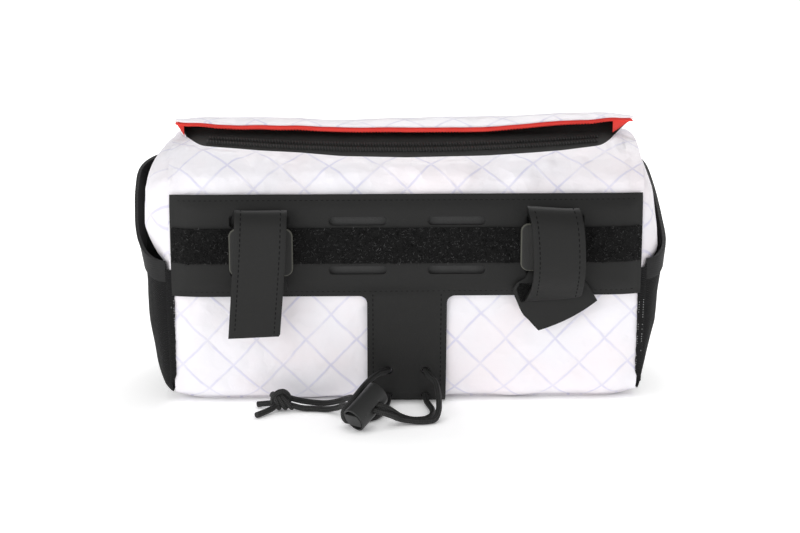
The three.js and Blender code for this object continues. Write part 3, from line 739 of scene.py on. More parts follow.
COIL = {"half": 100.0, "at": 149.0, "rise": 9.5, "pitch": 1.45, "off": 2.7, "sunk": 0.75, "slant": 0.16}
COIL_TOOTH = {"long": 3.1, "wide": 0.95, "high": 1.5}


def coil_middle(x):
    return COIL["at"] + COIL["rise"] * (x / COIL["half"]) ** 2


teeth = []
for row, offset in enumerate((-COIL["off"], COIL["off"])):
    for k in range(int(2 * COIL["half"] / COIL["pitch"])):
        x = -COIL["half"] + (k + 0.5 * row) * COIL["pitch"]
        teeth.append(spot_on_skin(x, coil_middle(x) + offset, -COIL["sunk"], math.pi / 2 + COIL["slant"]))
coil = repeated("zip_coil_teeth", bead(**COIL_TOOTH), teeth)
moulded_coil, at = finish_named("zip_coil_nylon", Roughness=0.42)
at.grain(700.0).tint((0.012, 0.012, 0.012), (0.03, 0.03, 0.029)).feed("Base Color")
at.grain(1500.0).emboss(0.00005)
coil.data.materials.append(moulded_coil)
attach(coil, "bag")
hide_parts("zip_coil")


# Storm flap: a piece of the same laminate sewn along the top, which stands off the zip along its free back
# edge and ends in two pointed ears. A red facing under that edge folds down to the zip at the ends.
def round_edges(piece, wide, segments, degrees):
    """Rounds every edge of a piece that turns more sharply than that."""
    by_angle = {"limit_method": "ANGLE", "angle_limit": math.radians(degrees)}
    apply_modifier(piece, "BEVEL", width=wide * MM, segments=segments, **by_angle)


def flap_point(across, along):
    share = (along + 1) / 2
    x = across * lerp(FLAP["half"], FLAP["root_half"], math.sqrt(share))
    s = lerp(flap_edge(x), FLAP["root"], share)
    return skin(x, s, flap_lift(x, s)), on_yarns(x, s)


flap = grid("storm_flap", 120, 26)
lay(flap, flap_point)
outward(flap)
apply_modifier(flap, "SUBSURF", levels=1, render_levels=1)
apply_modifier(flap, "SOLIDIFY", thickness=FLAP_THICK * MM, offset=1.0)
round_edges(flap, 0.3, 2, 50)
smooth(flap, 50.0)
flap.data.materials.append(white_laminate)
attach(flap, "bag")
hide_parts("lid_flap")

FACING = {"half": 117.4, "ahead": 0.9, "depth": 15.0, "droop": 1.75, "under": 0.1, "thick": 0.8}
FACING_NICK = 0.28


def facing_point(across, along):
    share = (along + 1) / 2
    inward = math.sqrt(FACING["depth"] * share / (FLAP["root"] - flap_edge(FLAP["half"])))
    x = across * (FACING["half"] - (FLAP["half"] - FLAP["root_half"]) * inward)
    nick = FACING_NICK * math.sin(x * 4.1) * (1 - share) ** 6
    s = flap_edge(x) - FACING["ahead"] + nick + FACING["depth"] * share
    ahead = clamp((flap_edge(x) + FACING["ahead"] - s) / (2 * FACING["ahead"]))
    droop = FACING["droop"] * (1 - 0.6 * (x / FACING["half"]) ** 2)
    return skin(x, s, flap_lift(x, s) - FACING["under"] - droop * ahead), (x, s)


facing = sewn_layer("flap_red_facing", 300, 12, facing_point, FACING["thick"], -1.0, 45.0)
red_cloth, at = finish_named("red_facing_cloth", Roughness=0.55, Specular_IOR_Level=0.3)
cloth = at.on_map("cloth")
threads = cloth.part(0).waves(0.7) * cloth.part(1).waves(0.7)
tone = at.grain(120.0, 3.0)
tone.tint((0.8, 0.048, 0.038), (0.9, 0.072, 0.056)).feed("Base Color")
(threads * 0.5 + tone * 0.4).emboss(0.00012)
facing.data.materials.append(red_cloth)
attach(facing, "bag")
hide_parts("flap_facing")

# Where each red tail hangs: its two ends along the flap's edge, and its lower corner on the cloth.
RED_TAILS = {
    "left": {"ear": -117.6, "inner": -113.2, "foot": (-112.6, 165.0)},
    "right": {"ear": 117.6, "inner": 107.0, "foot": (106.4, 164.0)},
}
RED_TAIL_THICK = 0.5
for side, tail in RED_TAILS.items():
    ear_x, inner_x = tail["ear"], tail["inner"]
    ear = skin(ear_x, flap_edge(ear_x) + 0.3, flap_lift(ear_x, flap_edge(ear_x)) - 0.3)
    inner = skin(inner_x, flap_edge(inner_x) + 0.2, flap_lift(inner_x, flap_edge(inner_x)) - 1.2)
    corner = skin(*tail["foot"], 0.5)

    def tail_point(across, along):
        share, down = (across + 1) / 2, (along + 1) / 2
        point = ear.lerp(inner, share).lerp(corner, down)
        return point, (share * 6.0, down * 7.0)

    red_tail = grid("flap_red_tail_" + side, 6, 8)
    lay(red_tail, tail_point)
    edit(red_tail, (bpy.ops.mesh.remove_doubles, {"threshold": 0.00002}))
    outward(red_tail)
    apply_modifier(red_tail, "SOLIDIFY", thickness=RED_TAIL_THICK * MM, offset=0.0)
    smooth(red_tail, 45.0)
    red_tail.data.materials.append(red_cloth)
    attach(red_tail, "bag")


def mouth_end(sign, s):
    """How far along the bag the mouth reaches, at a place up its round corner."""
    x = mouth_half(sign)
    for k in range(6):
        edge = float(np.interp(sign * x, *MOUTH_EDGE))
        rise = clamp((s - edge) / (MOUTH["high"] - 1 - edge))
        x = mouth_half(sign) - MOUTH["corner"] * (1 - math.sqrt(1 - (1 - rise) ** 2))
    return sign * x


# The flap's ends are closed by a short wall, white outside and black inside, that is sewn on round the mouth.
GUSSET = {"start": -0.93, "from": 165.0, "to": 200.5, "outside": 0.8, "sunk": -0.4, "thick": 0.4}
GUSSET_LAYERS = (
    {"name": "gusset", "inset": 0.0, "material": white_laminate, "slot": "cloth"},
    {"name": "lining", "inset": 0.6, "material": woven_black, "slot": "zip"},
)
# Where the wall is cut from the laminate, along the bag and up it, so that the yarns run on.
GUSSET_CLOTH = {"x": 118, "deep": 8, "from": 170, "to": 206}
for side, sign in SIDES.items():
    for layer in GUSSET_LAYERS:

        def gusset_point(across, along):
            share, down = (across + 1) / 2, (along + 1) / 2
            top = flap_point(sign * 0.997, lerp(GUSSET["start"], 1.0, share))[0]
            s = lerp(GUSSET["from"], GUSSET["to"], share)
            x = mouth_end(sign, s) + sign * GUSSET["outside"]
            point = top.lerp(skin(x, s, GUSSET["sunk"]), down)
            point.x -= sign * layer["inset"] * MM
            cloth_x = sign * (GUSSET_CLOTH["x"] + GUSSET_CLOTH["deep"] * down)
            return point, on_yarns(cloth_x, lerp(GUSSET_CLOTH["from"], GUSSET_CLOTH["to"], share))

        wall = sewn_layer(f"flap_end_{layer['name']}_{side}", 24, 6, gusset_point, GUSSET["thick"], 0.0, 45.0)
        wall.data.materials.append(layer["material"])
        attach(wall, "bag")


# Mount panel: a T of black rubber-coated cloth sewn to the back along its edges, with a row of slots that the
# straps and other gear pass through. A second layer of the same cloth shows through the slots.
PANEL = {"half": 117.0, "low": 66.5, "high": 117.9, "foot": 6.2, "thick": 1.4, "stem": 20.0, "fillet": 4.0}
PANEL_OFF = 2.5
SLOT = {"long": 28.5, "high": 4.2, "strap_high": 6.4, "pitch": 49.0, "rows": (80.4, 105.2)}
HOLE = {"x": 9.4, "rows": (11.2, 25.7), "radius": 1.95}


def panel_lift(x, s):
    inside = min(s - PANEL["low"], PANEL["high"] - s, PANEL["half"] - abs(x))
    return lerp(0.3, PANEL_OFF, smoothstep(inside, 0.0, 8.0))


def panel_point(across, along):
    x = PANEL["half"] * across
    s = lerp(PANEL["foot"], PANEL["high"], (along + 1) / 2)
    return skin(x, s, panel_lift(x, s)), (x, s)


def bevel_where(piece, kind, wanted, wide, segments):
    """Rounds only the wanted edges of a piece, or those of its wanted faces."""
    pick(piece, kind, wanted)
    bpy.ops.mesh.bevel(offset=wide * MM, segments=segments)
    bpy.ops.object.mode_set(mode="OBJECT")


def span(piece, edge, axis):
    """How far an edge reaches along an axis, in millimetres."""
    start, end = (piece.data.vertices[k].co for k in edge.vertices)
    return abs(start[axis] - end[axis]) / MM


def block(x, z, wide, high, corner, y=0.0, deep=60.0):
    """A bar through the back along Y, with round corners, that cuts a slot."""
    bpy.ops.object.select_all(action="DESELECT")
    bpy.ops.mesh.primitive_cube_add(size=1.0)
    made = bpy.context.object
    for vertex in made.data.vertices:
        cx, cy, cz = vertex.co
        vertex.co = placed(x + cx * wide, y + cy * deep, z + cz * high)
    bevel_where(made, "EDGE", lambda edge: span(made, edge, 1) > deep / 2, corner, 8)
    return made


def drill(origin, axis, radius, deep):
    """A round bar about a point, that cuts a hole."""
    bpy.ops.object.select_all(action="DESELECT")
    bpy.ops.mesh.primitive_cylinder_add(vertices=32, radius=radius * MM, depth=deep * MM)
    made = bpy.context.object
    turn = Vector((0, 0, 1)).rotation_difference(axis).to_matrix().to_4x4()
    made.data.transform(Matrix.Translation(origin) @ turn)
    return made


def cut(piece, cutters):
    """Takes the cutters out of a piece, and removes them."""
    bpy.ops.object.select_all(action="DESELECT")
    for cutter in cutters:
        cutter.select_set(True)
    bpy.context.view_layer.objects.active = cutters[0]
    if len(cutters) > 1:
        bpy.ops.object.join()
    apply_modifier(piece, "BOOLEAN", operation="DIFFERENCE", solver="EXACT", object=cutters[0])
    bpy.data.objects.remove(cutters[0])


panel = grid("mount_panel_cloth", 130, 66)
lay(panel, panel_point)
outward(panel)
apply_modifier(panel, "SOLIDIFY", thickness=PANEL["thick"] * MM, offset=1.0)
cutters = []
panel_low_z = section_at(PANEL["low"])[1]
for sign in SIDES.values():
    beside = PANEL["half"] + 5 - PANEL["stem"]
    middle = sign * (PANEL["stem"] + beside / 2)
    cutters.append(block(middle, (panel_low_z - 5) / 2, beside, panel_low_z + 5, PANEL["fillet"]))
for s in SLOT["rows"]:
    for place in (-1.5, -0.5, 0.5, 1.5):
        high = SLOT["strap_high"] if abs(place) > 1 else SLOT["high"]
        slot_x, slot_z = place * SLOT["pitch"], section_at(s)[1]
        cutters.append(block(slot_x, slot_z, SLOT["long"], high, SLOT["high"] / 2 - 0.1))
for s in HOLE["rows"]:
    for sign in SIDES.values():
        origin, _, _, up = spot_on_skin(sign * HOLE["x"], s, 0.0)
        cutters.append(drill(origin, up, HOLE["radius"], 8.0))
cut(panel, cutters)
round_edges(panel, 0.3, 2, 55)
smooth(panel, 45.0)


def rubber_cloth(name):
    """Black rubber-coated cloth: matt, finely pebbled, with a faint cloudy bloom."""
    material, at = finish_named(name, Specular_IOR_Level=0.28)
    bloom = at.grain(42.0, 3.0)
    pebble = at.grain(1300.0, 2.0)
    (bloom * 0.7 + pebble * 0.3).tint((0.007, 0.007, 0.0068), (0.014, 0.014, 0.0135)).feed("Base Color")
    (bloom * 0.16 + 0.5).feed("Roughness")
    (pebble * 0.6 + at.grain(260.0) * 0.4).emboss(0.00012)
    return material


black_rubber = rubber_cloth("black_rubber_cloth")
panel.data.materials.append(black_rubber)
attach(panel, "bag")
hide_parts("mount_panel")


BACKING = {"half": 114.0, "low": 69.0, "high": 115.5, "thick": 0.25}
BACKING_LIFT = {"sunk": -0.1, "raised": 0.7, "within": 55.0}


def backing_point(across, along):
    x = BACKING["half"] * across
    s = lerp(BACKING["low"], BACKING["high"], (along + 1) / 2)
    lift = BACKING_LIFT["raised"] * smoothstep(BACKING_LIFT["within"] - abs(x), 0.0, 5.0)
    return skin(x, s, BACKING_LIFT["sunk"] + lift), (x, s)


backing = sewn_layer("mount_panel_backing", 110, 20, backing_point, BACKING["thick"], 1.0, 40.0)
grey_rubber, at = finish_named("grey_rubber_cloth", Roughness=0.6)
at.grain(300.0, 3.0).grey(0.022, 0.036).feed("Base Color")
at.grain(1300.0).emboss(0.0001)
backing.data.materials.append(grey_rubber)
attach(backing, "bag")

STITCH = {"pitch": 2.6, "long": 1.75, "wide": 0.55, "high": 0.35}


def stitches_between(start, end, lift):
    """Stitch spots on the panel's face along a straight run from one (x, s) to another."""
    run = math.hypot(end[0] - start[0], end[1] - start[1])
    heading = math.atan2(end[1] - start[1], end[0] - start[0])
    count = int(run / STITCH["pitch"])
    spots = []
    for k in range(count):
        share = (k + 0.5) / count
        x, s = lerp(start[0], end[0], share), lerp(start[1], end[1], share)
        spots.append(spot_on_skin(x, s, lift(x, s), heading))
    return spots


def on_panel(x, s):
    return panel_lift(x, s) + PANEL["thick"] - 0.02


INSET = 2.9
SEWN_HALF, SEWN_STEM = PANEL["half"] - INSET, PANEL["stem"] - INSET
SEWN_LOW, SEWN_HIGH = PANEL["low"] + INSET, PANEL["high"] - INSET
panel_runs = [((-SEWN_HALF, SEWN_HIGH), (SEWN_HALF, SEWN_HIGH))]
for sign in SIDES.values():
    panel_runs.append(((sign * SEWN_HALF, SEWN_LOW), (sign * SEWN_STEM, SEWN_LOW)))
    panel_runs.append(((sign * SEWN_STEM, SEWN_LOW - 1.0), (sign * SEWN_STEM, PANEL["foot"] + 2.0)))
panel_runs.append(((-SEWN_STEM, SEWN_LOW), (SEWN_STEM, SEWN_LOW)))
spots = [spot for start, end in panel_runs for spot in stitches_between(start, end, on_panel)]
stitch = bead(STITCH["long"], STITCH["wide"], STITCH["high"], 6, 4)
panel_stitches = repeated("mount_panel_stitches", stitch, spots)
black_thread, at = finish_named("black_thread", Roughness=0.85, Specular_IOR_Level=0.1)
at.grain(900.0).grey(0.003, 0.008).feed("Base Color")
at.grain(2500.0).emboss(0.00005)
panel_stitches.data.materials.append(black_thread)
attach(panel_stitches, "bag")


# Loop tape: a strip of fuzzy fastening pile sewn across the panel between its two rows of slots. Its base is
# a woven tape, and the pile is thousands of tiny tangled nylon loops that leave its edges ragged.
LOOP_TAPE = {"half": 116.5, "at": 92.9, "wide": 17.3, "base": 1.1, "off": 0.3}
PILE = {"count": 5200, "over_end": 0.2, "over_edge": 0.25, "size": (0.65, 1.25)}
PILE_LOOP = {"radius": 0.5, "thread": 0.085}


def loop_base_point(across, along):
    x = LOOP_TAPE["half"] * across
    s = LOOP_TAPE["at"] + LOOP_TAPE["wide"] / 2 * along
    rough = 0.12 * noise.noise((x / 1.3, s / 1.3, 4.0))
    return skin(x, s, panel_lift(x, s) + PANEL["thick"] + LOOP_TAPE["off"] + rough), (x, s)


loop_base = sewn_layer("loop_tape_base", 230, 22, loop_base_point, LOOP_TAPE["base"], 1.0, 60.0)
pile_black, at = finish_named("loop_pile", Roughness=0.85, Specular_IOR_Level=0.2)
at.grain(500.0, 3.0).grey(0.002, 0.007).feed("Base Color")
at.grain(1500.0, 3.0).emboss(0.0004)
loop_base.data.materials.append(pile_black)
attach(loop_base, "bag")
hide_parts("loop_tape")


def curl(radius, thread):
    """One loop of pile: a bent thread of three sides that stands on its two feet."""
    points, faces = [], []
    steps, sides = 5, 3
    for k in range(steps + 1):
        turn = math.pi * k / steps
        for j in range(sides):
            roll = 2 * math.pi * j / sides
            reach = radius + thread * math.cos(roll)
            points.append((reach * math.cos(turn), thread * math.sin(roll), 1.25 * reach * math.sin(turn)))
    for k in range(steps):
        for j in range(sides):
            a, b = k * sides + j, k * sides + (j + 1) % sides
            faces.append((a, b, b + sides, a + sides))
    faces.append(tuple(reversed(range(sides))))
    faces.append(tuple(range(steps * sides, steps * sides + sides)))
    return points, faces


dice = random.Random(7)
pile_spots, pile_shades = [], []
for k in range(PILE["count"]):
    x = dice.uniform(-1, 1) * (LOOP_TAPE["half"] + PILE["over_end"])
    s = LOOP_TAPE["at"] + dice.uniform(-1, 1) * (LOOP_TAPE["wide"] / 2 + PILE["over_edge"])
    lift = panel_lift(x, s) + PANEL["thick"] + LOOP_TAPE["off"] + LOOP_TAPE["base"] - 0.1
    origin, along, across, up = spot_on_skin(x, s, lift, dice.uniform(0, math.pi))
    lean = (up + along * dice.uniform(-0.6, 0.6) + across * dice.uniform(-0.9, 0.9)).normalized()
    size = dice.uniform(*PILE["size"])
    pile_spots.append((origin, along * size, across * size, lean * size))
    pile_shades.append(dice.random())
pile = repeated("loop_tape_pile", curl(**PILE_LOOP), pile_spots, pile_shades)
pile_thread, at = finish_named("loop_pile_thread", Roughness=0.6, Specular_IOR_Level=0.35)
shade = at.node("ShaderNodeAttribute", {"attribute_name": "shade"}, {}, 2)
shade.fade(0.55, 1.0).grey(0.0015, 0.075).feed("Base Color")
at.grain(3000.0).emboss(0.00002)
pile.data.materials.append(pile_thread)
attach(pile, "bag")


# Bar straps: two bands of the rubber-coated cloth, sewn along both edges. Each comes out of its upper slot,
# goes over and down in front as a loop for the bar, and back behind the panel to a tail at its lower slot.
STRAP = {"wide": 25.4, "thick": 1.6, "x": 73.5, "sewn_in": 3.0}
STRAP_ROUTES = {
    "left": [
        (-2.6, 11.5, 41),
        (-1.4, 14.5, 54),
        (0, 17, 70),
        (1.3, 18, 87),
        (1.8, 16, 99),
        (1.8, 11.5, 104),
        (1.4, 6.6, 102),
        (0, 3.2, 98.2),
        (0, 1.2, 95.2),
        (0, 1, 90),
        (0, 1.2, 82),
        (0, 1.3, 76.4),
        (0, 3.2, 72.9),
        (0.6, 5.1, 68.6),
        (1.4, 5.2, 62),
    ],
    "right": [
        (0, 7.4, 58.6),
        (0.4, 11, 63),
        (0.8, 18, 74),
        (0.5, 19, 87),
        (-0.7, 17, 99.5),
        (-2.2, 11.8, 104.8),
        (-1.8, 6.6, 102.2),
        (0, 3.2, 98.2),
        (0, 1.2, 95.2),
        (0, 1, 90),
        (0, 1.2, 82),
        (0, 1.3, 76.4),
        (0, 3.2, 72.9),
        (-1, 5.1, 68.2),
        (-0.7, 5.3, 63.6),
        (2.6, 5.2, 57),
        (6.6, 4.8, 50.3),
    ],
}
# The front ends are cut askew, and the right one has a round corner on one side and spreads on the other. The
# tail of the right strap widens to a hook patch, which stands out on its left.
STRAP_SKEW = {"left": 1.7, "right": 2.4}
STRAP_TOP_TILT = {"left": 0.0, "right": -0.9}
STRAP_TOP = (92.0, 103.0)
STRAP_SEWN = {"left": 70.0, "right": 55.0}
STRAP_TAIL_WIDE = {"left": 25.4, "right": 32.5}
STRAP_CORNER = {"left": 0.6, "right": 3.4}
STRAP_SPREAD = {"left": 0.0, "right": 2.4}
TAIL_FLARE = {
    "left": ((0, 100), (0, 0)),
    "right": ((48, 56, 63, 65, 66.2, 67.2, 68), (0, 1.8, 4.4, 6.2, 5.4, 3.0, 0)),
}
TAIL_BOW = {"left": 0.0, "right": 2.6}


def smooth_route(points, step):
    """Even points, and how far along each is, on the smooth (centripetal) curve through some points."""
    p = np.array(points, float)
    p = np.vstack([2 * p[0] - p[1], p, 2 * p[-1] - p[-2]])
    line = []
    for k in range(1, len(p) - 2):
        p0, p1, p2, p3 = p[k - 1 : k + 3]
        d0, d1, d2 = (math.sqrt(np.linalg.norm(b - a)) for a, b in ((p0, p1), (p1, p2), (p2, p3)))
        t1 = ((p1 - p0) / d0 - (p2 - p0) / (d0 + d1) + (p2 - p1) / d1) * d1
        t2 = ((p2 - p1) / d1 - (p3 - p1) / (d1 + d2) + (p3 - p2) / d2) * d1
        for u in np.linspace(0, 1, 24, endpoint=False):
            h = (2 * u**3 - 3 * u**2 + 1, u**3 - 2 * u**2 + u, -2 * u**3 + 3 * u**2, u**3 - u**2)
            line.append(h[0] * p1 + h[1] * t1 + h[2] * p2 + h[3] * t2)
    line = np.array(line + [p[-2]])
    far = np.concatenate([[0], np.cumsum(np.linalg.norm(np.diff(line, axis=0), axis=1))])
    count = max(2, int(round(far[-1] / step)))
    even = np.linspace(0, far[-1], count + 1)
    return np.stack([np.interp(even, far, line[:, k]) for k in range(3)], axis=1), even


def strap_frames(side):
    """The strap's middle line in metres with its directions: along it, across it and out of its face."""
    sign = SIDES[side]
    points = [placed(sign * STRAP["x"] + x, -out, z) for x, out, z in STRAP_ROUTES[side]]
    line, far = smooth_route([point / MM for point in points], 1.3)
    along = np.gradient(line, axis=0)
    along /= np.linalg.norm(along, axis=1)[:, None]
    across = np.array([1.0, 0.0, 0.0]) - along * along[:, :1]
    across /= np.linalg.norm(across, axis=1)[:, None]
    out = np.cross(across, along)
    return line, along, across, out, far


for side in SIDES:
    line, along, across, out, far = strap_frames(side)
    steps = len(line) - 1
    strap = grid("bar_strap_" + side, 12, steps)

    def strap_point(u, v):
        k = int(round((v + 1) / 2 * steps))
        cup = 0.25 * noise.noise((far[k] / 18, u * 0.8, 2.0 + SIDES[side]))
        tail = smoothstep(far[k], far[-1] - 22.0, far[-1] - 9.0)
        wide = lerp(STRAP["wide"], STRAP_TAIL_WIDE[side], tail)
        askew = STRAP_SKEW[side] * u * (1 - smoothstep(far[k], 0.0, 14.0))
        off = u * wide / 2
        short = max(0.0, STRAP_CORNER[side] - far[k])
        if u > 0:
            off -= u * (STRAP_CORNER[side] - math.sqrt(STRAP_CORNER[side] ** 2 - short**2))
        else:
            off += u * STRAP_SPREAD[side] * (1 - smoothstep(far[k], -4.0, 12.0))
            if far[k] > far[-1] - 34.0:
                off += u * float(np.interp(line[k][2], *TAIL_FLARE[side]))
        bow = TAIL_BOW[side] * tail * max(0.0, 1 - ((u - 0.25) / 1.25) ** 2)
        point = line[k] + across[k] * off + along[k] * (askew + bow) + out[k] * cup * (1 - abs(u))
        point[2] += STRAP_TOP_TILT[side] * u * smoothstep(line[k][2], *STRAP_TOP)
        return Vector(point) * MM, (off, far[k])

    lay(strap, strap_point)
    apply_modifier(strap, "SOLIDIFY", thickness=STRAP["thick"] * MM, offset=0.0)
    edit(strap, (bpy.ops.mesh.normals_make_consistent, {"inside": False}))
    round_edges(strap, 0.35, 2, 50)
    smooth(strap, 45.0)
    strap.data.materials.append(black_rubber)
    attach(strap, "bag")
    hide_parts("strap_" + side)
    strap_spots = []
    for edge in (-1, 1):
        for k in range(int(STRAP_SEWN[side] / STITCH["pitch"])):
            i = int(np.searchsorted(far, STRAP["sewn_in"] + k * STITCH["pitch"]))
            face = -1.0 if out[i][1] > 0 else 1.0
            point = line[i] + across[i] * edge * (STRAP["wide"] / 2 - STRAP["sewn_in"])
            point = point + out[i] * face * (STRAP["thick"] / 2)
            point[2] += STRAP_TOP_TILT[side] * edge * 0.76 * smoothstep(line[i][2], *STRAP_TOP)
            strap_spots.append(
                (Vector(point) * MM, Vector(along[i]), Vector(across[i]), Vector(out[i] * face))
            )
    strap_stitches = repeated("bar_strap_stitches_" + side, stitch, strap_spots)
    strap_stitches.data.materials.append(black_thread)
    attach(strap_stitches, "bag")

# The hook patch is on the tail of the right strap, the last one made.
HOOK_PATCH = {"count": 2400, "low": 63.2, "high": 67.6, "from": -0.91, "to": -0.35, "lift": 0.85}
HOOK = {"radius": 0.32, "thread": 0.08}
hook_spots, hook_shades = [], []
tail_rows = [k for k in range(len(line) - 1) if far[k] > far[-1] - 30.0]
hook_rows = [k for k in tail_rows if HOOK_PATCH["low"] < line[k][2] < HOOK_PATCH["high"]]
for k in range(HOOK_PATCH["count"]):
    i = dice.choice(hook_rows)
    u = dice.uniform(HOOK_PATCH["from"], HOOK_PATCH["to"])
    here = strap_point(u, 2 * i / steps - 1)[0]
    there = strap_point(u, 2 * (i + 1) / steps - 1)[0]
    beside = strap_point(u + 0.05, 2 * i / steps - 1)[0]
    run = (there - here).normalized()
    up = run.cross(beside - here).normalized()
    if up.y > 0:
        up.negate()
    turn = dice.uniform(0, math.pi)
    heading = run * math.cos(turn) + up.cross(run) * math.sin(turn)
    spot = here.lerp(there, dice.random()) + up * HOOK_PATCH["lift"] * MM
    hook_spots.append((spot, heading * 0.7, up.cross(heading) * 0.7, up * 0.8))
    hook_shades.append(dice.random())
hooks = repeated("bar_strap_hook_patch", curl(**HOOK), hook_spots, hook_shades)
hooks.data.materials.append(pile_thread)
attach(hooks, "bag")


# Strap pads: a rounded pad of cloth-faced foam behind each strap's loop, a little wider than the strap, that
# rests against the loop tape and keeps the bar off the panel.
PAD = {"wide": 31.5, "high": 24.0, "thick": 2.5, "corner": 4.0, "at": 90.6}
PAD_SHIFT = {"left": (1.3, 0.0), "right": (-1.8, 2.0)}
PAD_BACK = PANEL_OFF + PANEL["thick"] + 0.3 + 2.0 + 0.3
foam, at = finish_named("foam_pad_cloth", Specular_IOR_Level=0.3)
pad_tone = at.grain(90.0, 3.0)
# The pad's rounded edges, where its normal turns away from the front and back faces, are painted a lighter
# grey: a painted highlight.
painted_edge_highlight = abs(at.node("ShaderNodeNewGeometry", {}, {}, 1).part(1)).fade(0.96, 0.7)
pad_face = pad_tone.tint((0.022, 0.022, 0.021), (0.034, 0.034, 0.033))
painted_edge_highlight.tint(pad_face, (0.1, 0.1, 0.084)).feed("Base Color")
(pad_tone * 0.15 + 0.6).feed("Roughness")
at.grain(1400.0).emboss(0.00012)
for side, sign in SIDES.items():
    back_y = (skin(0.0, LOOP_TAPE["at"], PAD_BACK).y / MM) - BACK_Y
    pad_z = section_at(PAD["at"])[1] + PAD_SHIFT[side][1]
    pad_x = sign * STRAP["x"] + PAD_SHIFT[side][0]
    pad_y = back_y - PAD["thick"] / 2
    pad = block(pad_x, pad_z, PAD["wide"], PAD["high"], PAD["corner"], pad_y, PAD["thick"])
    pad.name = "strap_pad_foam_" + side
    round_edges(pad, 1.2, 4, 60)
    smooth(pad, 50.0)
    pad.data.materials.append(foam)
    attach(pad, "bag")
    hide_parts("strap_pad_" + side)


# End pockets: black stretch mesh over the lower part of each end, sewn into the end seams and bound along its
# slanted mouth with a smooth folded elastic. The seam's edge turns a little way onto the back, and the needle
# holes along it show as rows of bright dots.
POCKET = {"thick": 1.2, "binding": 10.0, "binding_thick": 1.9}
SEAM_STRIP = {"low": 16.0, "high": 79.5, "wide_low": 0.9, "wide_high": 2.4, "over": 2.0, "thick": 0.5}
# Rows of needle holes: how far in from the seam, and from where to where up the back.
PINHOLES = {"left": ((1.5, 50, 66), (0.2, 53, 62)), "right": ((1.0, 22, 64), (-1.2, 34, 64))}
PINHOLE = {"pitch": 1.35, "chance": 0.6, "lift": 0.85}
MOUTH_SLOPE = math.radians(22.6)
MOUTH_UP = Vector((0.0, -math.sin(MOUTH_SLOPE), math.cos(MOUTH_SLOPE)))
MOUTH_AT = placed(0.0, 0.0, 74.5)

stretch_mesh, at = finish_named("stretch_mesh", Roughness=0.75, Specular_IOR_Level=0.22)
yarns_up = at.part(2).waves(0.0011)
yarns_side = at.part(1).waves(0.0013)
net = yarns_up * yarns_side
lint = at.grain(380.0, 3.0)
knit = net.fade(-0.4, 0.8) * 0.6 + lint * 0.4
knit.tint((0.002, 0.002, 0.0022), (0.011, 0.011, 0.0114)).feed("Base Color")
(net * 0.7 + lint * 0.6).emboss(0.00025)
elastic, at = finish_named("binding_elastic", Roughness=0.65, Specular_IOR_Level=0.3)
ribbing = at.on_map("cloth").part(1).waves(1.1)
lint = at.grain(300.0, 3.0)
lint.tint((0.007, 0.007, 0.0073), (0.016, 0.016, 0.0163)).feed("Base Color")
(ribbing * 0.25 + lint * 0.5).emboss(0.00014)


def trim(piece, along_normal, keep_below):
    """Cuts a sheet along the slant of the pocket's mouth, that far above it, and keeps one side."""
    ops = {"plane_co": MOUTH_AT + MOUTH_UP * (along_normal * MM), "plane_no": MOUTH_UP}
    ops.update({"clear_outer": keep_below, "clear_inner": not keep_below})
    edit(piece, (bpy.ops.mesh.bisect, ops))


for side, sign in SIDES.items():
    start = HALF + 0.3
    pocket = dome("pocket_mesh_" + side, sign, side + "_pocket", 0.4, start + POCKET["thick"], 0.7, 140, 34)
    trim(pocket, -POCKET["binding"] + 0.4, True)
    apply_modifier(pocket, "SOLIDIFY", thickness=(POCKET["thick"] - 0.1) * MM, offset=-1.0)
    smooth(pocket, 60.0)
    pocket.data.materials.append(stretch_mesh)
    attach(pocket, "bag")
    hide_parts("pocket_" + side)

    band_start = start + POCKET["binding_thick"]
    band = dome("pocket_binding_band_" + side, sign, side + "_pocket", 0.4, band_start, 0.35, 140, 34)
    trim(band, -POCKET["binding"], False)
    trim(band, 0.0, True)
    apply_modifier(band, "SOLIDIFY", thickness=(POCKET["binding_thick"] - 0.1) * MM, offset=-1.0)
    round_edges(band, 0.5, 3, 55)
    smooth(band, 60.0)
    band.data.materials.append(elastic)
    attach(band, "bag")
    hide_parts("pocket_binding_" + side)

    def strip_point(across, along):
        s = lerp(SEAM_STRIP["low"], SEAM_STRIP["high"], (along + 1) / 2)
        frayed = 0.35 * noise.noise((s / 3.0, 1.0 + sign, 5.0)) + 0.25 * noise.noise((s / 11.0, sign, 8.0))
        inner = lerp(SEAM_STRIP["wide_low"], SEAM_STRIP["wide_high"], (along + 1) / 2) + frayed
        inner = lerp(-SEAM_STRIP["over"] / 2, inner, smoothstep(along, -1.0, -0.8))
        off = lerp(-SEAM_STRIP["over"], inner, (across + 1) / 2)
        lift = 0.35 - 0.25 * max(0.0, across) - 0.9 * max(0.0, -across) ** 2
        return skin(sign * (HALF - off), s, lift), (off, s)

    strip = sewn_layer("pocket_seam_strip_" + side, 6, 90, strip_point, SEAM_STRIP["thick"], 1.0, 60.0)
    strip.data.materials.append(stretch_mesh)
    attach(strip, "bag")

    dots = []
    for off, low, high in PINHOLES[side]:
        for k in range(int((high - low) / PINHOLE["pitch"])):
            if dice.random() < PINHOLE["chance"]:
                s = low + PINHOLE["pitch"] * k
                dots.append(spot_on_skin(sign * (HALF - off), s, PINHOLE["lift"], math.pi / 2))
    pinholes = repeated("pocket_pinholes_" + side, bead(0.4, 0.36, 0.2, 6, 4), dots)
    pale_thread, at = finish_named("pale_thread_" + side, Roughness=0.6)
    at.grain(2000.0).grey(0.3, 0.75).feed("Base Color")
    pinholes.data.materials.append(pale_thread)
    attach(pinholes, "bag")


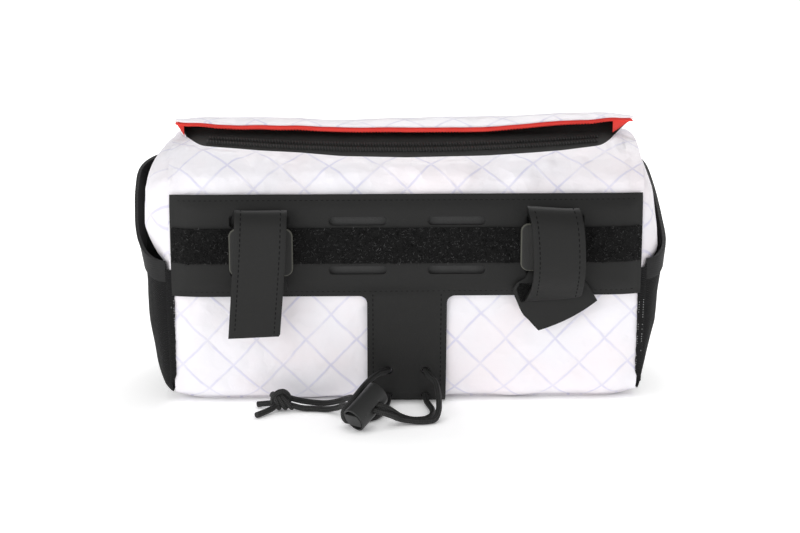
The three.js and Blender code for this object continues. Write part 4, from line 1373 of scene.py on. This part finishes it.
# Elastic cord: 3 mm braided shock cord. Two free strands leave the right-hand holes of the panel's stem, lie
# on the table, pass through the toggle side by side and end in a knot. A loop from the left-hand holes goes
# round under the toggle. The routes are the CAD tubes' own, in millimetres.
CORD_WIDE = 3.0
CORD_ROUTES = {
    "upper_right": [
        (13.8, -41.5, 18.5), (15.5, -47.1, 17.0), (18.6, -52.1, 14.8), (19.7, -57.5, 11.8),
        (20.0, -62.7, 8.3),
        (19.6, -67.8, 4.7), (17.5, -73.0, 2.0), (12.0, -75.1, 1.7), (5.7, -75.3, 2.2),
        (0.0, -77.0, 3.7),
        (-3.8, -81.0, 6.6), (-8.9, -83.6, 9.2), (-14.1, -81.5, 10.1), (-18.6, -77.1, 9.8),
        (-23.2, -72.9, 9.5),
        (-26.3, -67.7, 8.1), (-27.9, -62.0, 6.1), (-31.0, -57.2, 3.4), (-36.0, -54.1, 1.7),
        (-42.1, -52.9, 1.7),
        (-48.4, -52.2, 1.8), (-54.5, -51.6, 3.2),
    ],
    "lower_right": [
        (13.8, -37.3, 4.6), (14.5, -42.6, 2.1), (15.8, -48.5, 1.6), (16.8, -54.5, 1.7),
        (17.0, -60.6, 1.7),
        (15.9, -66.5, 1.7), (12.3, -71.3, 1.7), (6.3, -71.5, 1.6), (0.9, -73.1, 3.7),
        (-2.6, -76.6, 7.0),
        (-6.1, -80.2, 10.3), (-11.2, -80.2, 11.9), (-15.4, -75.8, 11.5), (-19.8, -71.6, 11.4),
        (-23.0, -66.5, 11.4), (-24.6, -60.9, 9.8), (-26.2, -55.4, 7.7), (-28.8, -50.4, 5.3),
        (-32.6, -46.3, 3.0),
        (-37.9, -43.8, 1.7), (-43.9, -43.8, 2.2), (-49.5, -45.4, 3.6), (-54.5, -48.2, 5.8),
    ],
    "left_loop": [
        (-5.0, -41.5, 18.5), (-6.6, -47.1, 19.0), (-9.6, -52.6, 19.9), (-12.4, -58.3, 19.8),
        (-15.2, -63.9, 19.1),
        (-17.9, -69.4, 17.8), (-20.4, -75.1, 16.3), (-23.7, -79.5, 13.4), (-27.4, -81.2, 8.8),
        (-26.3, -78.2, 3.6), (-22.5, -73.5, 2.0), (-16.8, -70.8, 1.7), (-11.7, -67.1, 1.7),
        (-8.9, -61.5, 1.7),
        (-7.5, -55.3, 1.7), (-6.2, -49.2, 1.7), (-5.2, -42.9, 2.2), (-5.0, -37.3, 4.6),
    ],
}


def cord_along(name, lines, wide, step=0.8, sides=12):
    """Round cords in one piece along some routes in millimetres, with a UV map that follows the braid."""
    points, faces, flat = [], [], []
    for route in lines:
        line, far = smooth_route(route, step)
        along = np.gradient(line, axis=0)
        along /= np.linalg.norm(along, axis=1)[:, None]
        side = np.cross(along[0], (0.3, 0.2, 1.0))
        first = len(points)
        for k, point in enumerate(line):
            side = side - along[k] * side.dot(along[k])
            side /= np.linalg.norm(side)
            other = np.cross(along[k], side)
            for j in range(sides):
                turn = 2 * math.pi * j / sides
                points.append((point + (side * math.cos(turn) + other * math.sin(turn)) * wide / 2) * MM)
        for k in range(len(line) - 1):
            for j in range(sides):
                a, b = first + k * sides + j, first + k * sides + (j + 1) % sides
                faces.append((a, b, b + sides, a + sides))
                u0, u1, v0, v1 = far[k], far[k + 1], j / sides, (j + 1) / sides
                flat += [(u0, v0), (u0, v1), (u1, v1), (u1, v0)]
        last = first + (len(line) - 1) * sides
        faces.append(tuple(reversed(range(first, first + sides))))
        faces.append(tuple(range(last, last + sides)))
        flat += [(0.0, 0.0)] * (2 * sides)
    made = piece_of(name, points, faces)
    braid = made.data.uv_layers.new(name="braid")
    for k, uv in enumerate(flat):
        braid.data[k].uv = uv
    smooth(made, 60.0)
    return made


braided_cover, at = finish_named("braided_cover", Roughness=0.62, Specular_IOR_Level=0.35)
braid = at.on_map("braid")
run, turn = braid.part(0) * (2 * math.pi / 1.5), braid.part(1) * (2 * math.pi * 4)
strand = (run + turn).sine() * (run - turn).sine()
# The colour follows the braid's relief: lighter on the strands' crests and darker in the grooves between
# them, a painted highlight and painted shade.
strand.fade(-0.6, 0.8).tint((0.008, 0.008, 0.008), (0.032, 0.032, 0.031)).feed("Base Color")
(strand * 0.5 + at.grain(1500.0) * 0.3).emboss(0.0003)

TAILS = [
    [(-63.8, -2.5, 4.8), (-69.0, 0.5, 3.0), (-76.0, 2.8, 1.7)],
    [(-63.8, -2.5, 4.8), (-68.5, -7.5, 2.4), (-75.5, -15.5, 1.7)],
]
INTO_KNOT = [
    [(-58.9, -4.0, 3.2), (-61.2, -3.4, 4.0), (-64.0, -2.5, 4.8)],
    [(-58.9, -0.6, 5.8), (-61.2, -1.4, 5.4), (-64.0, -2.5, 4.8)],
]
KNOT = {"x": -64.2, "y": -2.5, "z": 5.1, "turns": 2.6, "pitch": 2.45, "deep": 2.95, "high": 3.35, "fan": 0.35}
KNOT_ARCH = [
    (-67.6, -3.2, 4.2),
    (-67.5, -4.3, 7.2),
    (-65.2, -4.4, 9.9),
    (-62.2, -3.6, 10.1),
    (-60.0, -2.8, 7.4),
    (-59.9, -2.4, 4.8),
]
KNOT_STEPS = 36
knot_turns = []
for k in range(KNOT_STEPS + 1):
    wound = KNOT["turns"] * (k / KNOT_STEPS - 0.5)
    turn = 2 * math.pi * wound + 0.6
    fan = 1 - KNOT["fan"] * math.sin(turn)
    lean = 0.9 * math.cos(turn) - 1.4 * math.sin(turn)
    knot_turns.append(
        placed(
            KNOT["x"] - wound * KNOT["pitch"] * fan + lean,
            KNOT["y"] - KNOT["deep"] * math.cos(turn),
            KNOT["z"] + KNOT["high"] * math.sin(turn),
        )
        / MM
    )
tails = [[placed(*point) / MM for point in tail] for tail in TAILS]
tails += [[placed(*point) / MM for point in strand] for strand in [*INTO_KNOT, KNOT_ARCH]]
knot = cord_along("cord_knot_turns", [knot_turns, *tails], CORD_WIDE)
knot.data.materials.append(braided_cover)
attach(knot, "bag")
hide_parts("cord_knot")

for name, route in CORD_ROUTES.items():
    cord = cord_along("shock_cord_" + name, [route], CORD_WIDE)
    cord.data.materials.append(braided_cover)
    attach(cord, "bag")
    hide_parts("cord_" + name)


# Toggle: a moulded black cord lock that leans on the table, a barrel with a spring plunger in its near end
# and a slot through both that the strands pass through. The plunger's two flats leave dark gaps beside it.
LOCK = {"radius": 5.5, "long": 20.8, "bore": 4.75, "bore_deep": 19.5, "hole_at": 12.0, "hole_wide": 3.7}
PLUNGER = {"radius": 4.5, "flat": 2.85, "proud": 0.3, "end": 16.8, "travel": 2.5}
LOCK_OVAL = {"across": 1.03, "up": 1.22, "raise": 1.2}
HOLE_HALF = 3.65
lock_axis = Vector((0.58591, 0.65602, 0.47574))
lock_across = Vector((-0.7344, 0.6780, -0.0304))
lock_up = lock_axis.cross(lock_across)
lock_near = placed(-26.6, -38.4, 5.0)
to_lock = Matrix((lock_across, lock_up, lock_axis)).transposed().to_4x4()
to_lock = Matrix.Translation(lock_near) @ to_lock


def rod(name, radius, start, end, rounding):
    """A round bar along Z in millimetres, with both rims rounded."""
    bpy.ops.object.select_all(action="DESELECT")
    middle = (start + end) / 2 * MM
    bpy.ops.mesh.primitive_cylinder_add(vertices=64, radius=radius * MM, depth=(end - start) * MM)
    made = bpy.context.object
    made.name = name
    made.data.transform(Matrix.Translation((0.0, 0.0, middle)))
    if rounding:
        bevel_where(made, "FACE", lambda face: abs(face.normal.z) > 0.9, rounding, 4)
    return made


def made_oval(piece):
    """Presses a round bar into the toggle's oval section, which stands on the table with its lower side."""
    for vertex in piece.data.vertices:
        vertex.co.x *= LOCK_OVAL["across"]
        vertex.co.y = vertex.co.y * LOCK_OVAL["up"] + LOCK_OVAL["raise"] * MM


def cross_slot(start, end):
    """A bar along X with round ends, for the slot that the strands pass through."""
    bpy.ops.object.select_all(action="DESELECT")
    bpy.ops.mesh.primitive_cube_add(size=1.0)
    made = bpy.context.object
    for vertex in made.data.vertices:
        x, y, z = vertex.co
        vertex.co = (x * 0.03, y * LOCK["hole_wide"] * MM, ((start + end) / 2 + z * (end - start)) * MM)
    bevel_where(made, "EDGE", lambda edge: span(made, edge, 0) > 10.0, LOCK["hole_wide"] / 2 - 0.05, 8)
    return made


moulded_black, at = finish_named("moulded_black", Specular_IOR_Level=0.45)
grit = at.grain(900.0, 3.0)
at.grain(60.0, 2.0).tint((0.009, 0.0095, 0.009), (0.016, 0.0165, 0.016)).feed("Base Color")
(grit * 0.18 + 0.36).feed("Roughness")
grit.emboss(0.00006)

barrel = rod("toggle_barrel", LOCK["radius"], 0.0, LOCK["long"], 0.4)
cut(barrel, [rod("toggle_bore", LOCK["bore"], -1.0, LOCK["bore_deep"], 0.0)])
made_oval(barrel)
cut(barrel, [cross_slot(LOCK["hole_at"] - HOLE_HALF, LOCK["hole_at"] + HOLE_HALF)])
round_edges(barrel, 0.2, 2, 50)
barrel.data.transform(to_lock)
smooth(barrel, 45.0)
barrel.data.materials.append(moulded_black)
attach(barrel, "bag")
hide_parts("cord_lock_barrel")

plunger = rod("toggle_plunger", PLUNGER["radius"], -PLUNGER["proud"], PLUNGER["end"], 0.0)
for sign in (-1, 1):
    flat = {"plane_co": (0.0, sign * PLUNGER["flat"] * MM, 0.0), "plane_no": (0.0, sign, 0.0)}
    edit(plunger, (bpy.ops.mesh.bisect, {**flat, "use_fill": True, "clear_outer": True}))
made_oval(plunger)
cut(plunger, [cross_slot(LOCK["hole_at"] - HOLE_HALF - PLUNGER["travel"], LOCK["hole_at"] + HOLE_HALF)])
round_edges(plunger, 0.35, 3, 50)
plunger.data.transform(to_lock)
smooth(plunger, 45.0)
plunger.data.materials.append(moulded_black)
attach(plunger, "plunger")
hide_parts("cord_lock_plunger")

for name, length, far_end, carried in (
    ("upper_right", 0.1319, "knot", [knot, barrel, plunger]),
    ("lower_right", 0.1338, "knot", []),
    ("left_loop", 0.1075, "object", []),
):
    path = [Vector(point) * MM for point in smooth_route(CORD_ROUTES[name], 1.0)[0]]
